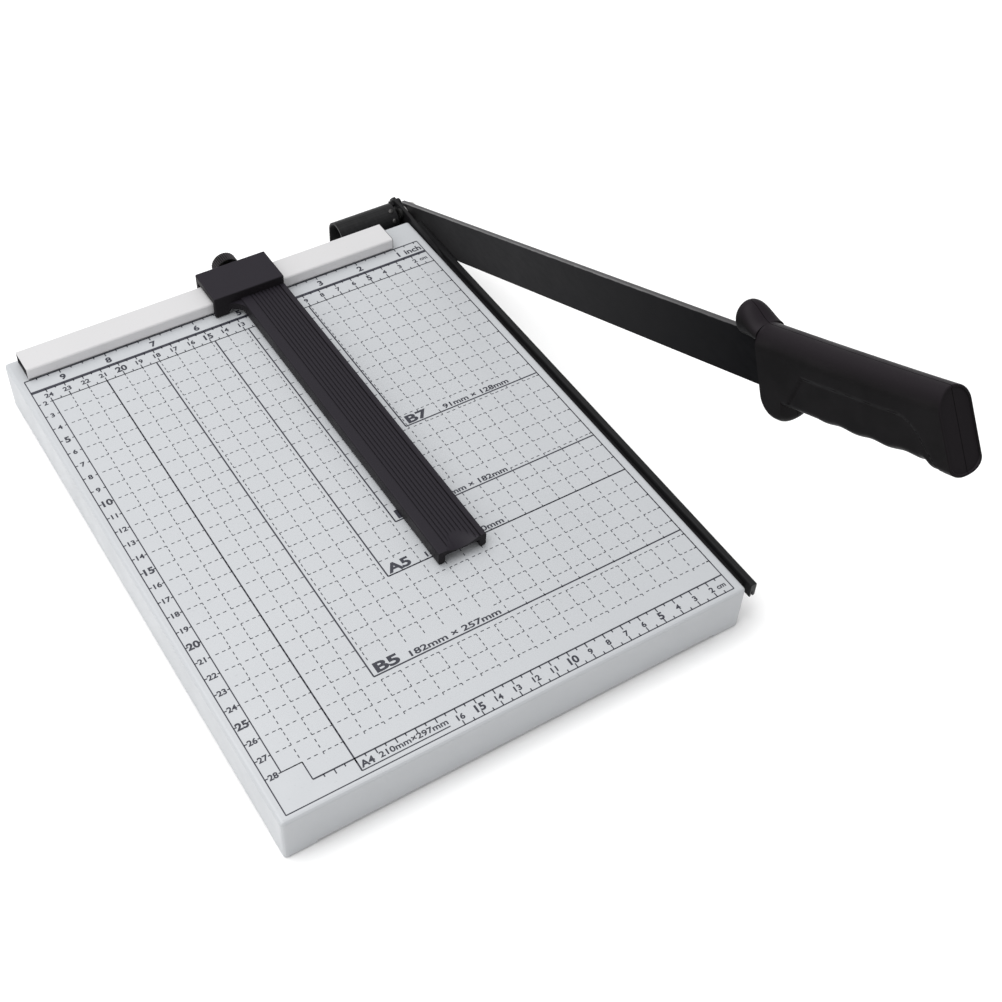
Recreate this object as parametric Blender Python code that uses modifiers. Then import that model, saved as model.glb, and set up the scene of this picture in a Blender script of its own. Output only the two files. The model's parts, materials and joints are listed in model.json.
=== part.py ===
"""Guillotine paper cutter, built as an assembly of separate solids.

Lengths are millimetres in the code and metres in the scene. Every piece is placed from the
cutting line: X runs right from it, Y runs back from the front face of the fence rail, and Z runs
up from the table top. The arm's pieces are placed from the pivot: X right, Y back along the
blade, Z square to it, before the arm is raised to its rest angle.
"""

import math

import bmesh
import bpy
from mathutils import Matrix, Vector

MM = 0.001
GAP = 0.3  # left between pieces that touch

# The table, a folded pan.
TABLE_LEFT, TABLE_RIGHT = -251.9, -4.8
TABLE_FRONT, TABLE_BACK = -303.0, 19.0
PAN_HEIGHT = 27.5
PAN_SHEET = 1.2
PAN_CORNER = 1.9  # radius of the folds and of the upright corners
CORNER_TAB = 15.5  # length of the corners that reach the full height
EDGE_RELIEF = 1.3  # how much higher the edges between the corners end
TAB_WIDTH = 16.0
FOOT_DROP = 0.8
FOOT_INSET = 9.0
FOOT_STEM = 2.2

# The fence rail, an inverted channel.
RAIL_LEFT, RAIL_RIGHT = -245.0, -25.7
RAIL_DEPTH, RAIL_HEIGHT = 16.6, 7.6
RAIL_SHEET = 1.0
RAIL_FLANGE = 6.5
RAIL_RIVETS_X = (-225.0, -150.0, -45.0)
RAIL_RIVET_Y = 4.4

# The bed knife along the right edge.
KNIFE_INNER, BAR_INNER, KNIFE_OUTER = -4.5, -2.1, 1.1
KNIFE_FRONT, KNIFE_BACK = -303.2, 14.0
KNIFE_TOP, FLANGE_TOP, KNIFE_BOTTOM = 0.5, -3.0, -8.0
FLANGE_SETBACK = 6.0  # how far behind the bar's front end the flange starts
GROOVE_LEFT, GROOVE_RIGHT, GROOVE_TOP = -1.3, -0.5, -4.5
KNIFE_SCREWS_Y, KNIFE_SCREW_Z = (-280.0, -150.0, -25.0), -5.5
EAR_THICKNESS, EAR_TOP = 2.0, 3.3
EAR_RIVET = (27.0, 0.4)
STOP_BOLT = (37.5, -0.2)
STOP_HEAD = 2.4

# The pivot, on a line along X.
PIVOT_Y, PIVOT_Z = 33.0, -6.5
REST_ANGLE = 23.68
BOLT_RADIUS = 3.0
BORE = BOLT_RADIUS + GAP
COVER_LEFT, COVER_RIGHT = -45.5, -7.5
COVER_RADIUS, COVER_SHEET = 9.1, 1.0
COVER_REAR_EDGE = -22.0
COVER_RIVET_ANGLES = {"upper": 113.0, "lower": 152.0}
COVER_RIVET_X = -10.5
BRACKET_LEFT, BRACKET_RIGHT = -17.5, KNIFE_INNER - GAP
NECK_RADIUS = 4.8
RIVET_BOSS = 1.6
SLAB_LEFT, SLAB_TOP, SLAB_BOTTOM = -36.0, -13.0, -23.0
HINGE_SCREWS_X, HINGE_SCREW_Z = (-15.0, -31.0), -18.0
SPRING_RADIUS, SPRING_WIRE, SPRING_TURNS = 5.2, 1.6, 5
WASHER_RIGHT, NUT_RIGHT = -31.0, -32.7

# The arm, along -Y from the pivot before it is raised.
BLADE_INNER, BLADE_OUTER = 1.8, 4.8
BLADE_TOP, BLADE_EDGE = 6.3, -18.6
BLADE_BEVEL = 5.5
BLADE_END_RADIUS = 8.0
TANG_START, TANG_END = 342.0, 425.0
TANG_TOP, TANG_BOTTOM = 5.0, -11.0
HANDLE_MIDDLE, HANDLE_HALF_WIDTH, END_HALF_WIDTH = 4.5, 8.8, 8.4
HANDLE_START, GUARD_START, HANDLE_END = 322.5, 336.5, 443.9
NUB_HEIGHT, NUB_RADIUS, NUB_ROUND = 11.5, 7.8, 2.0
NUB_FALL_START, NUB_FALL_END = 325.5, 338.0
LOBE_BOTTOM, LOBE_END = -31.0, 349.5
LOBE_FRONT_ROUND, LOBE_REAR_ROUND = 7.0, 4.0
GRIP_BOTTOM, GRIP_RISE, UNDER_ROUND = -22.6, 2.0, 5.0
HEEL_START, HEEL_END, HEEL_BOTTOM = 430.5, 434.5, -23.0
WAVE_START, WAVE_END, WAVE_PITCH, WAVE_DEPTH = 371.0, 429.0, 18.0, 0.4
END_SLANT = 0.183
HANDLE_SCREWS = (372.0, 408.0)
HANDLE_SCREW_HEIGHT, HANDLE_SCREW_SEAT = -3.0, 10.5

# The side gauge and its thumb screw.
GAUGE_LEFT, GAUGE_RIGHT = -139.7, -97.5
HEAD_FRONT, HEAD_BACK = -4.5, 20.3
HEAD_TOP, HEAD_ROOF = 13.7, 9.2
HEAD_SKIRT = 3.0
SKIRT_ARCH_LEFT, SKIRT_ARCH_TOP = -132.0, 3.6
ARM_LEFT, ARM_FRONT, ARM_TOP = -124.2, -216.5, 8.5
ARM_WALL, ARM_ROOF = 3.6, 3.0
SCOOP_WIDTH, SCOOP_DEPTH, SCOOP_LENGTH = 18.0, 2.4, 10.5
GROOVE_COUNT, GROOVE_WIDTH, GROOVE_DEPTH = 9, 0.9, 0.5
GROOVES_LEFT, GROOVES_RIGHT = -118.3, -101.0
STUD_X, STUD_Z, STUD_RADIUS = -118.5, 5.9, 2.0
INSERT_RADIUS = 3.4
KNOB_FRONT, KNOB_BACK, KNOB_RADIUS = 24.0, 31.0, 7.3
KNURLS, KNURL_FLOOR = 28, 0.95  # how far in the grooves reach, as a part of the radius

# The cutting line's place in the scene, so that the whole object stands on the origin.
CUTTING_LINE = Vector((119.3, 171.66, PAN_HEIGHT + FOOT_DROP))


# ---- scene helpers

def clear_scene():
    for old in list(bpy.data.objects):
        bpy.data.objects.remove(old, do_unlink=True)


def new_collection(name):
    collection = bpy.data.collections.new(name)
    bpy.context.scene.collection.children.link(collection)
    return collection


def new_empty(name, parent=None, place=(0, 0, 0)):
    empty = bpy.data.objects.new(name, None)
    empty.location = Vector(place) * MM
    empty.parent = parent
    PARTS.objects.link(empty)
    return empty


def new_material(name, colour, roughness, metallic):
    material = bpy.data.materials.new(name)
    material.use_nodes = True
    shader = material.node_tree.nodes["Principled BSDF"]
    shader.inputs["Base Color"].default_value = (*colour, 1.0)
    shader.inputs["Roughness"].default_value = roughness
    shader.inputs["Metallic"].default_value = metallic
    material.diffuse_color = (*colour, 1.0)
    return material


def add(name, mesh, parent, material=None, place=(0, 0, 0)):
    """An object from a mesh in metres. Without a material it is a cutter."""
    piece = bpy.data.objects.new(name, mesh)
    piece.parent = parent
    piece.location = Vector(place) * MM
    if material is None:
        piece.hide_render = True
        piece.display_type = "WIRE"
        CUTTERS.objects.link(piece)
    else:
        piece.data.materials.append(material)
        PARTS.objects.link(piece)
    return piece


def mesh_from(name, shape):
    """A mesh in metres from a bmesh in millimetres."""
    bmesh.ops.scale(shape, vec=(MM, MM, MM), verts=shape.verts)
    bmesh.ops.recalc_face_normals(shape, faces=shape.faces)
    mesh = bpy.data.meshes.new(name)
    shape.to_mesh(mesh)
    shape.free()
    return mesh


def smooth(piece, angle=35):
    piece.data.shade_smooth()
    piece.data.set_sharp_from_angle(angle=math.radians(angle))
    return piece


# ---- shapes

def box(name, low, high, parent, material=None):
    low, high = Vector(low), Vector(high)
    size = high - low
    shape = bmesh.new()
    bmesh.ops.create_cube(shape, size=1.0)
    bmesh.ops.scale(shape, vec=size, verts=shape.verts)
    bmesh.ops.translate(shape, vec=(low + high) / 2, verts=shape.verts)
    return add(name, mesh_from(name, shape), parent, material)


def rod(name, start, end, radius, parent, material=None, segments=24):
    """A cylinder from start to end."""
    start, end = Vector(start), Vector(end)
    turn = (end - start).to_track_quat("Z", "Y").to_matrix().to_4x4()
    shape = bmesh.new()
    bmesh.ops.create_cone(
        shape, cap_ends=True, segments=segments, radius1=radius, radius2=radius,
        depth=(end - start).length, matrix=Matrix.Translation((start + end) / 2) @ turn,
    )
    return add(name, mesh_from(name, shape), parent, material)


AXES = {
    "X": Matrix(((0, 0, 1), (1, 0, 0), (0, 1, 0))),  # outline in Y, Z
    "Y": Matrix(((1, 0, 0), (0, 0, -1), (0, 1, 0))),  # outline in X, Z
    "Z": Matrix.Identity(3),  # outline in X, Y
}


def prism(name, outline, axis, low, high, parent, material=None):
    """A flat outline extruded along an axis, from low to high."""
    curve = bpy.data.curves.new(name, "CURVE")
    curve.dimensions = "2D"
    curve.fill_mode = "BOTH"
    curve.extrude = (high - low) / 2 * MM
    line = curve.splines.new("POLY")
    line.points.add(len(outline) - 1)
    for point, (across, up) in zip(line.points, outline):
        point.co = (across * MM, up * MM, 0.0, 1.0)
    line.use_cyclic_u = True
    middle = (high + low) / 2
    shift = {"X": (middle, 0, 0), "Y": (0, middle, 0), "Z": (0, 0, middle)}[axis]
    guide = bpy.data.objects.new(name + "_guide", curve)
    bpy.context.scene.collection.objects.link(guide)
    guide.matrix_world = Matrix.Translation(Vector(shift) * MM) @ AXES[axis].to_4x4()
    bpy.context.view_layer.update()
    graph = bpy.context.evaluated_depsgraph_get()
    mesh = bpy.data.meshes.new_from_object(guide.evaluated_get(graph))
    mesh.transform(guide.matrix_world)
    bpy.data.objects.remove(guide, do_unlink=True)
    shape = bmesh.new()
    shape.from_mesh(mesh)
    bmesh.ops.remove_doubles(shape, verts=shape.verts, dist=1e-6)
    bmesh.ops.recalc_face_normals(shape, faces=shape.faces)
    shape.to_mesh(mesh)
    shape.free()
    mesh.name = name
    mesh.materials.clear()
    return add(name, mesh, parent, material)


def turned(name, profile, start, direction, parent, material, steps=24):
    """A profile of (radius, distance) turned round the axis that leaves start."""
    shape = bmesh.new()
    corners = [shape.verts.new((radius, 0, along)) for radius, along in profile]
    for first, second in zip(corners, corners[1:]):
        shape.edges.new((first, second))
    bmesh.ops.scale(shape, vec=(MM, MM, MM), verts=shape.verts)
    mesh = bpy.data.meshes.new(name)
    shape.to_mesh(mesh)
    shape.free()
    piece = add(name, mesh, parent, material, start)
    piece.rotation_euler = Vector(direction).to_track_quat("Z", "Y").to_euler()
    screw = piece.modifiers.new("Turn", "SCREW")
    screw.steps = screw.render_steps = steps
    screw.use_merge_vertices = True
    screw.merge_threshold = 0.00001
    screw.use_smooth_shade = False
    return piece


def sheet(name, section, low, high, thickness, parent, material):
    """An open line in Y, Z drawn along X and thickened inwards: a folded strip."""
    shape = bmesh.new()
    ends = [[shape.verts.new((x, y, z)) for y, z in section] for x in (low, high)]
    for left, left_next, right, right_next in zip(ends[0], ends[0][1:], ends[1], ends[1][1:]):
        shape.faces.new((left, left_next, right_next, right))
    mesh = mesh_from(name, shape)
    piece = add(name, mesh, parent, material)
    solid = piece.modifiers.new("Sheet", "SOLIDIFY")
    solid.thickness = thickness * MM
    solid.use_even_offset = True
    return piece


def cut(piece, *cutters, operation="DIFFERENCE"):
    for cutter in cutters:
        boolean = piece.modifiers.new(cutter.name, "BOOLEAN")
        boolean.operation = operation
        boolean.object = cutter
    return piece


def arc(centre, radius, first, last, steps, height=None):
    """Points on an arc, from the first angle to the last, in degrees. A height makes it oval."""
    angles = [math.radians(first + (last - first) * step / steps) for step in range(steps + 1)]
    up = height or radius
    return [(centre[0] + radius * math.cos(a), centre[1] + up * math.sin(a)) for a in angles]


# ---- the table

def make_base_pan():
    shape = bmesh.new()
    low = Vector((TABLE_LEFT, TABLE_FRONT, -PAN_HEIGHT))
    high = Vector((TABLE_RIGHT, TABLE_BACK, 0.0))
    bmesh.ops.create_cube(shape, size=1.0)
    bmesh.ops.scale(shape, vec=high - low, verts=shape.verts)
    bmesh.ops.translate(shape, vec=(low + high) / 2, verts=shape.verts)
    folds = [edge for edge in shape.edges if max(v.co.z for v in edge.verts) > -1.0]
    bmesh.ops.bevel(
        shape, geom=folds, offset=PAN_CORNER, offset_type="OFFSET", segments=3, profile=0.5,
        affect="EDGES",
    )
    floor = min(shape.faces, key=lambda face: face.calc_center_median().z)
    bmesh.ops.delete(shape, geom=[floor], context="FACES_ONLY")
    pan = add("base_pan", mesh_from("base_pan", shape), FRAME, PALE_PAINT)
    solid = pan.modifiers.new("Sheet", "SOLIDIFY")
    solid.thickness = PAN_SHEET * MM
    solid.use_even_offset = True
    top = -PAN_HEIGHT + EDGE_RELIEF
    deep = -PAN_HEIGHT - 1.0
    inside, outside = 10.0, 5.0  # how far the cutters reach past the walls
    for number, (x, y) in enumerate(foot_places()):
        half = TAB_WIDTH / 2
        low, high = (x - half, y - half, -PAN_HEIGHT), (x + half, y + half, -PAN_HEIGHT + PAN_SHEET)
        cut(pan, box(f"corner_tab_{number}", low, high, FRAME), operation="UNION")
    left, right = TABLE_LEFT + CORNER_TAB, TABLE_RIGHT - CORNER_TAB
    front, back = TABLE_FRONT + CORNER_TAB, TABLE_BACK - CORNER_TAB
    cut(
        pan,
        box("relief_front", (left, TABLE_FRONT - outside, deep), (right, TABLE_FRONT + inside, top), FRAME),
        box("relief_rear", (left, TABLE_BACK - inside, deep), (right, TABLE_BACK + outside, top), FRAME),
        box("relief_left", (TABLE_LEFT - outside, front, deep), (TABLE_LEFT + inside, back, top), FRAME),
        box("relief_right", (TABLE_RIGHT - inside, front, deep), (TABLE_RIGHT + outside, back, top), FRAME),
    )
    for number, (x, y) in enumerate(foot_places()):
        ends = (x, y, deep), (x, y, deep + inside)
        cut(pan, rod(f"foot_hole_{number}", *ends, FOOT_STEM + GAP, FRAME))
    for number, x in enumerate(RAIL_RIVETS_X):
        ends = (x, RAIL_RIVET_Y, -5), (x, RAIL_RIVET_Y, 5)
        cut(pan, rod(f"rail_hole_{number}", *ends, 1.5 + GAP, FRAME))
    for number, y in enumerate(KNIFE_SCREWS_Y):
        ends = (TABLE_RIGHT - 5, y, KNIFE_SCREW_Z), (TABLE_RIGHT + 5, y, KNIFE_SCREW_Z)
        cut(pan, rod(f"knife_hole_{number}", *ends, 1.5 + GAP, FRAME))
    for number, x in enumerate(HINGE_SCREWS_X):
        ends = (x, TABLE_BACK - 5, HINGE_SCREW_Z), (x, TABLE_BACK + 5, HINGE_SCREW_Z)
        cut(pan, rod(f"hinge_hole_{number}", *ends, 2.0 + GAP, FRAME))
    return pan


def foot_places():
    """Front left, front right, rear left, rear right."""
    return [
        (x, y)
        for y in (TABLE_FRONT + FOOT_INSET, TABLE_BACK - FOOT_INSET)
        for x in (TABLE_LEFT + FOOT_INSET, TABLE_RIGHT - FOOT_INSET)
    ]


def make_feet():
    """Push-in feet: a pad under the tab, a stem through it and a head above it."""
    names = ("front_left", "front_right", "rear_left", "rear_right")
    pad_top = FOOT_DROP - GAP
    head = FOOT_DROP + PAN_SHEET + GAP
    profile = (
        (0, head + 1.2), (2.4, head + 1.2), (3.4, head), (FOOT_STEM, head), (FOOT_STEM, pad_top),
        (6.2, pad_top), (5.8, 0), (0, 0),
    )
    for name, (x, y) in zip(names, foot_places()):
        place = (x, y, -PAN_HEIGHT - FOOT_DROP)
        smooth(turned(f"rubber_foot_{name}", profile, place, (0, 0, 1), FRAME, RUBBER))


# ---- the fence rail

def make_fence_rail():
    low, top, bend = GAP, RAIL_HEIGHT, 1.2
    section = (
        [(RAIL_FLANGE + 1.0, low), (bend, low)]
        + arc((bend, low + bend), bend, -135, -180, 1)
        + arc((bend, top - bend), bend, 180, 90, 3)
        + arc((RAIL_DEPTH - bend, top - bend), bend, 90, 0, 3)
        + [(RAIL_DEPTH, low)]
    )
    rail = sheet("fence_rail", section, RAIL_LEFT, RAIL_RIGHT, RAIL_SHEET, FRAME, PALE_PAINT)
    for number, x in enumerate(RAIL_RIVETS_X):
        ends = (x, RAIL_RIVET_Y, -3), (x, RAIL_RIVET_Y, low + 3)
        cut(rail, rod(f"rail_flange_hole_{number}", *ends, 1.5 + GAP, FRAME))
    head = GAP + RAIL_SHEET + GAP
    foot = -PAN_SHEET - GAP
    profile = (
        (0, head + 1.0), (1.6, head + 0.8), (2.6, head), (1.5, head), (1.5, foot),
        (2.6, foot), (2.2, foot - 0.9), (0, foot - 1.1),
    )
    for number, x in enumerate(RAIL_RIVETS_X, 1):
        place = (x, RAIL_RIVET_Y, 0)
        smooth(turned(f"rail_rivet_{number}", profile, place, (0, 0, 1), FRAME, BARE_STEEL, 16))


# ---- the bed knife

def make_bed_knife():
    """A bar with a grooved underside, the flange that holds it to the pan, and the pivot's ear."""
    prong = (KNIFE_OUTER - GROOVE_RIGHT) / 2
    section = (
        [(KNIFE_INNER, KNIFE_BOTTOM), (KNIFE_INNER, FLANGE_TOP), (BAR_INNER, FLANGE_TOP)]
        + [(BAR_INNER, KNIFE_TOP - 0.3), (BAR_INNER + 0.3, KNIFE_TOP)]
        + [(KNIFE_OUTER - 0.2, KNIFE_TOP), (KNIFE_OUTER, KNIFE_TOP - 0.2)]
        + arc((KNIFE_OUTER - prong, KNIFE_BOTTOM + prong), prong, 0, -180, 8)
        + [(GROOVE_RIGHT, GROOVE_TOP), (GROOVE_LEFT, GROOVE_TOP), (GROOVE_LEFT, KNIFE_BOTTOM)]
    )
    knife = prism("bed_knife", section, "Y", KNIFE_FRONT, KNIFE_BACK, FRAME, BLACK_STEEL)
    setback_low = (KNIFE_INNER - 1, KNIFE_FRONT - 1, KNIFE_BOTTOM - 1)
    setback_high = (BAR_INNER, KNIFE_FRONT + FLANGE_SETBACK, KNIFE_TOP + 1)
    cut(knife, box("flange_setback", setback_low, setback_high, FRAME))
    pivot = (PIVOT_Y, PIVOT_Z)
    outline = (
        [(-20.0, KNIFE_BOTTOM), (-20.0, FLANGE_TOP), (-12.0, KNIFE_TOP), (24.0, EAR_TOP)]
        + [(39.0, EAR_TOP), (41.5, EAR_TOP - 3.0)]
        + arc(pivot, 9.5, 5, -90, 8)
        + [(10.0, -15.0)]
    )
    ear = prism("ear", outline, "X", KNIFE_INNER, KNIFE_INNER + EAR_THICKNESS, FRAME)
    cut(knife, ear, operation="UNION")
    cut(knife, rod("ear_bore", (-20, *pivot), (20, *pivot), BORE, FRAME))
    cut(knife, rod("ear_rivet_hole", (-20, *EAR_RIVET), (0, *EAR_RIVET), 1.5 + GAP, FRAME, None, 16))
    cut(knife, rod("stop_hole", (-20, *STOP_BOLT), (0, *STOP_BOLT), 1.5 + GAP, FRAME, None, 16))
    for number, y in enumerate(KNIFE_SCREWS_Y):
        ends = (KNIFE_INNER - 2, y, KNIFE_SCREW_Z), (KNIFE_INNER + 2.0, y, KNIFE_SCREW_Z)
        cut(knife, rod(f"knife_thread_{number}", *ends, 1.5 + GAP, FRAME, None, 16))
    inside = TABLE_RIGHT - PAN_SHEET - GAP
    tip = KNIFE_INNER + 2.0 - GAP
    run = inside - tip
    profile = ((0, 1.8), (2.0, 1.6), (2.8, 0.6), (2.8, 0), (1.5, 0), (1.5, run), (0, run))
    for number, y in enumerate(KNIFE_SCREWS_Y, 1):
        place = (inside, y, KNIFE_SCREW_Z)
        name = f"bed_knife_screw_{number}"
        smooth(turned(name, profile, place, (-1, 0, 0), FRAME, BARE_STEEL, 16))


# ---- the hinge

def make_hinge():
    pivot = Vector((0, PIVOT_Y, PIVOT_Z))
    block_radius = COVER_RADIUS - COVER_SHEET - GAP
    outside = (
        [(PIVOT_Y - COVER_RADIUS, SLAB_TOP + GAP)]
        + arc((PIVOT_Y, PIVOT_Z), COVER_RADIUS, 180, 0, 16)
        + [(PIVOT_Y + COVER_RADIUS, COVER_REAR_EDGE)]
    )
    cover = sheet("hinge_cover", outside, COVER_LEFT, COVER_RIGHT, COVER_SHEET, FRAME, BLACK_STEEL)
    block = (
        [(PIVOT_Y + block_radius, SLAB_TOP - 1)]
        + arc((PIVOT_Y, PIVOT_Z), block_radius, 0, 180, 12)
        + [(PIVOT_Y - block_radius, SLAB_TOP - 1)]
    )
    block_right = COVER_RIGHT - 1.5
    bracket = prism("hinge_bracket", block, "X", BRACKET_LEFT, block_right, FRAME, BLACK_CAST)
    slab_low = (SLAB_LEFT, TABLE_BACK + GAP, SLAB_BOTTOM)
    slab_high = (BRACKET_RIGHT, PIVOT_Y + block_radius, SLAB_TOP)
    cut(bracket, box("slab", slab_low, slab_high, FRAME), operation="UNION")
    neck_ends = (block_right - 1.0, *pivot.yz), (BRACKET_RIGHT, *pivot.yz)
    cut(bracket, rod("bracket_neck", *neck_ends, NECK_RADIUS, FRAME), operation="UNION")
    web = arc(EAR_RIVET, 2.8, 50, 230, 8) + arc((PIVOT_Y, PIVOT_Z), NECK_RADIUS - 0.1, -130, 50, 8)
    web = prism("rivet_web", web, "X", BRACKET_RIGHT - RIVET_BOSS, BRACKET_RIGHT, FRAME)
    cut(bracket, web, operation="UNION")
    cut(bracket, rod("bracket_bore", (-60, *pivot.yz), (20, *pivot.yz), BORE, FRAME))
    rivet_ends = (BRACKET_RIGHT - 6.0, *EAR_RIVET), (0, *EAR_RIVET)
    cut(bracket, rod("bracket_rivet_hole", *rivet_ends, 1.5 + GAP, FRAME, None, 16))
    for number, x in enumerate(HINGE_SCREWS_X, 1):
        depth = TABLE_BACK + 13.0
        ends = (x, TABLE_BACK - 1, HINGE_SCREW_Z), (x, depth + GAP, HINGE_SCREW_Z)
        cut(bracket, rod(f"hinge_thread_{number}", *ends, 2.0 + GAP, FRAME, None, 16))
        head = TABLE_BACK - PAN_SHEET - GAP
        run = depth - head
        profile = (
            (0, 2.4), (2.2, 2.2), (3.6, 0.9), (3.6, 0), (2.0, 0), (2.0, -run), (0, -run),
        )
        place = (x, head, HINGE_SCREW_Z)
        smooth(turned(f"hinge_screw_{number}", profile, place, (0, -1, 0), FRAME, BARE_STEEL, 16))
    for side, angle in COVER_RIVET_ANGLES.items():
        outwards = Vector((0, math.cos(math.radians(angle)), math.sin(math.radians(angle))))
        middle = Vector((COVER_RIVET_X, PIVOT_Y, PIVOT_Z))
        ends = middle + outwards * NECK_RADIUS, middle + outwards * 12.0
        cut(cover, rod(f"cover_hole_{side}", *ends, 1.0 + GAP, FRAME, None, 16))
        cut(bracket, rod(f"block_hole_{side}", *ends, 1.0 + GAP, FRAME, None, 16))
        face = COVER_RADIUS + GAP
        profile = (
            (0, face + 0.6), (1.0, face + 0.4), (1.5, face), (1.0, face), (1.0, 5.6), (0, 5.6),
        )
        smooth(turned(f"cover_rivet_{side}", profile, middle, outwards, FRAME, BARE_STEEL, 16))
    ear_face = KNIFE_INNER + EAR_THICKNESS + GAP
    run = ear_face - (BRACKET_RIGHT - RIVET_BOSS)
    profile = ((0, 0.9), (1.6, 0.7), (2.4, 0), (1.5, 0), (1.5, -run), (0, -run))
    smooth(turned("ear_rivet", profile, (ear_face, *EAR_RIVET), (1, 0, 0), FRAME, BARE_STEEL, 16))
    make_stop_bolt(ear_face)


def make_stop_bolt(ear_face):
    """A hexagon bolt through the top of the ear, with its nut on the other side."""
    nut_face = KNIFE_INNER - GAP
    thick = 1.8
    end = nut_face - thick - ear_face
    profile = (
        (0, 2.6), (STOP_HEAD - 0.4, 2.6), (STOP_HEAD, 2.2), (STOP_HEAD, 0), (1.5, 0), (1.5, end), (0, end),
    )
    turned("stop_bolt", profile, (ear_face, *STOP_BOLT), (1, 0, 0), FRAME, BLACK_STEEL, 6)
    ends = (nut_face - thick, *STOP_BOLT), (nut_face, *STOP_BOLT)
    nut = rod("stop_nut", *ends, STOP_HEAD, FRAME, BLACK_STEEL, 6)
    ends = (nut_face - thick - 1, *STOP_BOLT), (nut_face + 1, *STOP_BOLT)
    cut(nut, rod("stop_nut_hole", *ends, 1.5 + GAP, FRAME, None, 16))


def make_friction_spring():
    """A compression coil round the pivot bolt, a polyline with a round section."""
    start = BRACKET_LEFT - GAP - SPRING_WIRE / 2
    end = WASHER_RIGHT + GAP + SPRING_WIRE / 2
    per_turn = 12
    count = SPRING_TURNS * per_turn
    curve = bpy.data.curves.new("friction_spring", "CURVE")
    curve.dimensions = "3D"
    curve.bevel_depth = SPRING_WIRE / 2 * MM
    curve.bevel_resolution = 1
    curve.use_fill_caps = True
    line = curve.splines.new("POLY")
    line.points.add(count)
    for number, point in enumerate(line.points):
        part = number / count
        angle = math.tau * SPRING_TURNS * part
        x = start + (end - start) * part
        y = PIVOT_Y + SPRING_RADIUS * math.cos(angle)
        z = PIVOT_Z + SPRING_RADIUS * math.sin(angle)
        point.co = (x * MM, y * MM, z * MM, 1.0)
    spring = bpy.data.objects.new("friction_spring", curve)
    spring.parent = FRAME
    spring.data.materials.append(BARE_STEEL)
    PARTS.objects.link(spring)


# ---- the arm

def make_blade():
    """The swinging blade: a flat bar with a round end at the pivot and a tang in the handle."""
    top_angle = math.degrees(math.asin(BLADE_TOP / BLADE_END_RADIUS))
    outline = (
        [(-TANG_END, TANG_BOTTOM), (-TANG_START, TANG_BOTTOM), (-TANG_START, BLADE_EDGE)]
        + [(-6.0, BLADE_EDGE), (3.0, -14.0)]
        + arc((0, 0), BLADE_END_RADIUS, -50, top_angle, 10)
        + [(-TANG_START, BLADE_TOP), (-TANG_START, TANG_TOP), (-TANG_END, TANG_TOP)]
    )
    blade = prism("upper_blade", outline, "X", BLADE_INNER, BLADE_OUTER, ARM, BLACK_STEEL)
    land = BLADE_INNER + 0.5  # the cutting edge's outer face
    bevel = [
        (BLADE_OUTER + 1, BLADE_EDGE - 1), (BLADE_OUTER + 1, BLADE_EDGE + BLADE_BEVEL),
        (BLADE_OUTER, BLADE_EDGE + BLADE_BEVEL), (land, BLADE_EDGE), (land, BLADE_EDGE - 1),
    ]
    cut(
        blade,
        prism("blade_bevel", bevel, "Y", -TANG_START - 5, 12, ARM),
        rod("blade_bore", (0, 0, 0), (10, 0, 0), BORE, ARM),
    )
    for number, along in enumerate(HANDLE_SCREWS):
        ends = (0, -along, HANDLE_SCREW_HEIGHT), (10, -along, HANDLE_SCREW_HEIGHT)
        cut(blade, rod(f"tang_hole_{number}", *ends, 1.5 + GAP, ARM, None, 16))
    return blade


def make_pivot_bolt():
    head = BLADE_OUTER + GAP
    end = NUT_RIGHT - 5.5
    profile = (
        (0, 4.2), (3.4, 3.8), (5.4, 2.4), (6.0, 0.8), (6.0, 0), (BOLT_RADIUS, 0),
        (BOLT_RADIUS, end - head), (0, end - head),
    )
    smooth(turned("pivot_bolt", profile, (head, 0, 0), (1, 0, 0), ARM, BARE_STEEL))
    rings = (
        ("pivot_spacer", BLADE_INNER - GAP, KNIFE_INNER + EAR_THICKNESS + GAP, NECK_RADIUS, 24),
        ("spring_washer", WASHER_RIGHT, WASHER_RIGHT - 1.4, 6.1, 24),
        ("lock_nut", NUT_RIGHT, NUT_RIGHT - 4.8, 6.0, 6),
    )
    for name, right, left, radius, segments in rings:
        ring = rod(name, (left, 0, 0), (right, 0, 0), radius, ARM, BARE_STEEL, segments)
        cut(ring, rod(name + "_bore", (left - 1, 0, 0), (right + 1, 0, 0), BORE, ARM))


def share(value, start, end):
    """How far a value is from start to end, from 0 to 1."""
    return min(max((value - start) / (end - start), 0.0), 1.0)


def ease(part):
    return 3 * part**2 - 2 * part**3


def handle_top(along):
    line = 11.3 + 1.3 * ((along - 340.0) / 100.0) ** 2
    nub = NUB_HEIGHT + NUB_RADIUS
    return nub + (line - nub) * ease(share(along, NUB_FALL_START, NUB_FALL_END))


def handle_bottom(along):
    """The guard's rounded lobe, then the grip's shallow waves, then the heel."""
    if along <= LOBE_END:
        ahead = max(GUARD_START + LOBE_FRONT_ROUND - along, 0.0)
        behind = max(along - LOBE_END + LOBE_REAR_ROUND, 0.0)
        front = LOBE_FRONT_ROUND - math.sqrt(LOBE_FRONT_ROUND**2 - ahead**2)
        rear = LOBE_REAR_ROUND - math.sqrt(LOBE_REAR_ROUND**2 - behind**2)
        return LOBE_BOTTOM + front + rear
    grip = GRIP_BOTTOM + GRIP_RISE * share(along, 360.0, HEEL_START) ** 2
    if WAVE_START < along < WAVE_END:
        grip += WAVE_DEPTH * math.sin(math.tau * (along - 380.0) / WAVE_PITCH)
    return grip + (HEEL_BOTTOM - grip) * ease(share(along, HEEL_START, HEEL_END))


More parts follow.
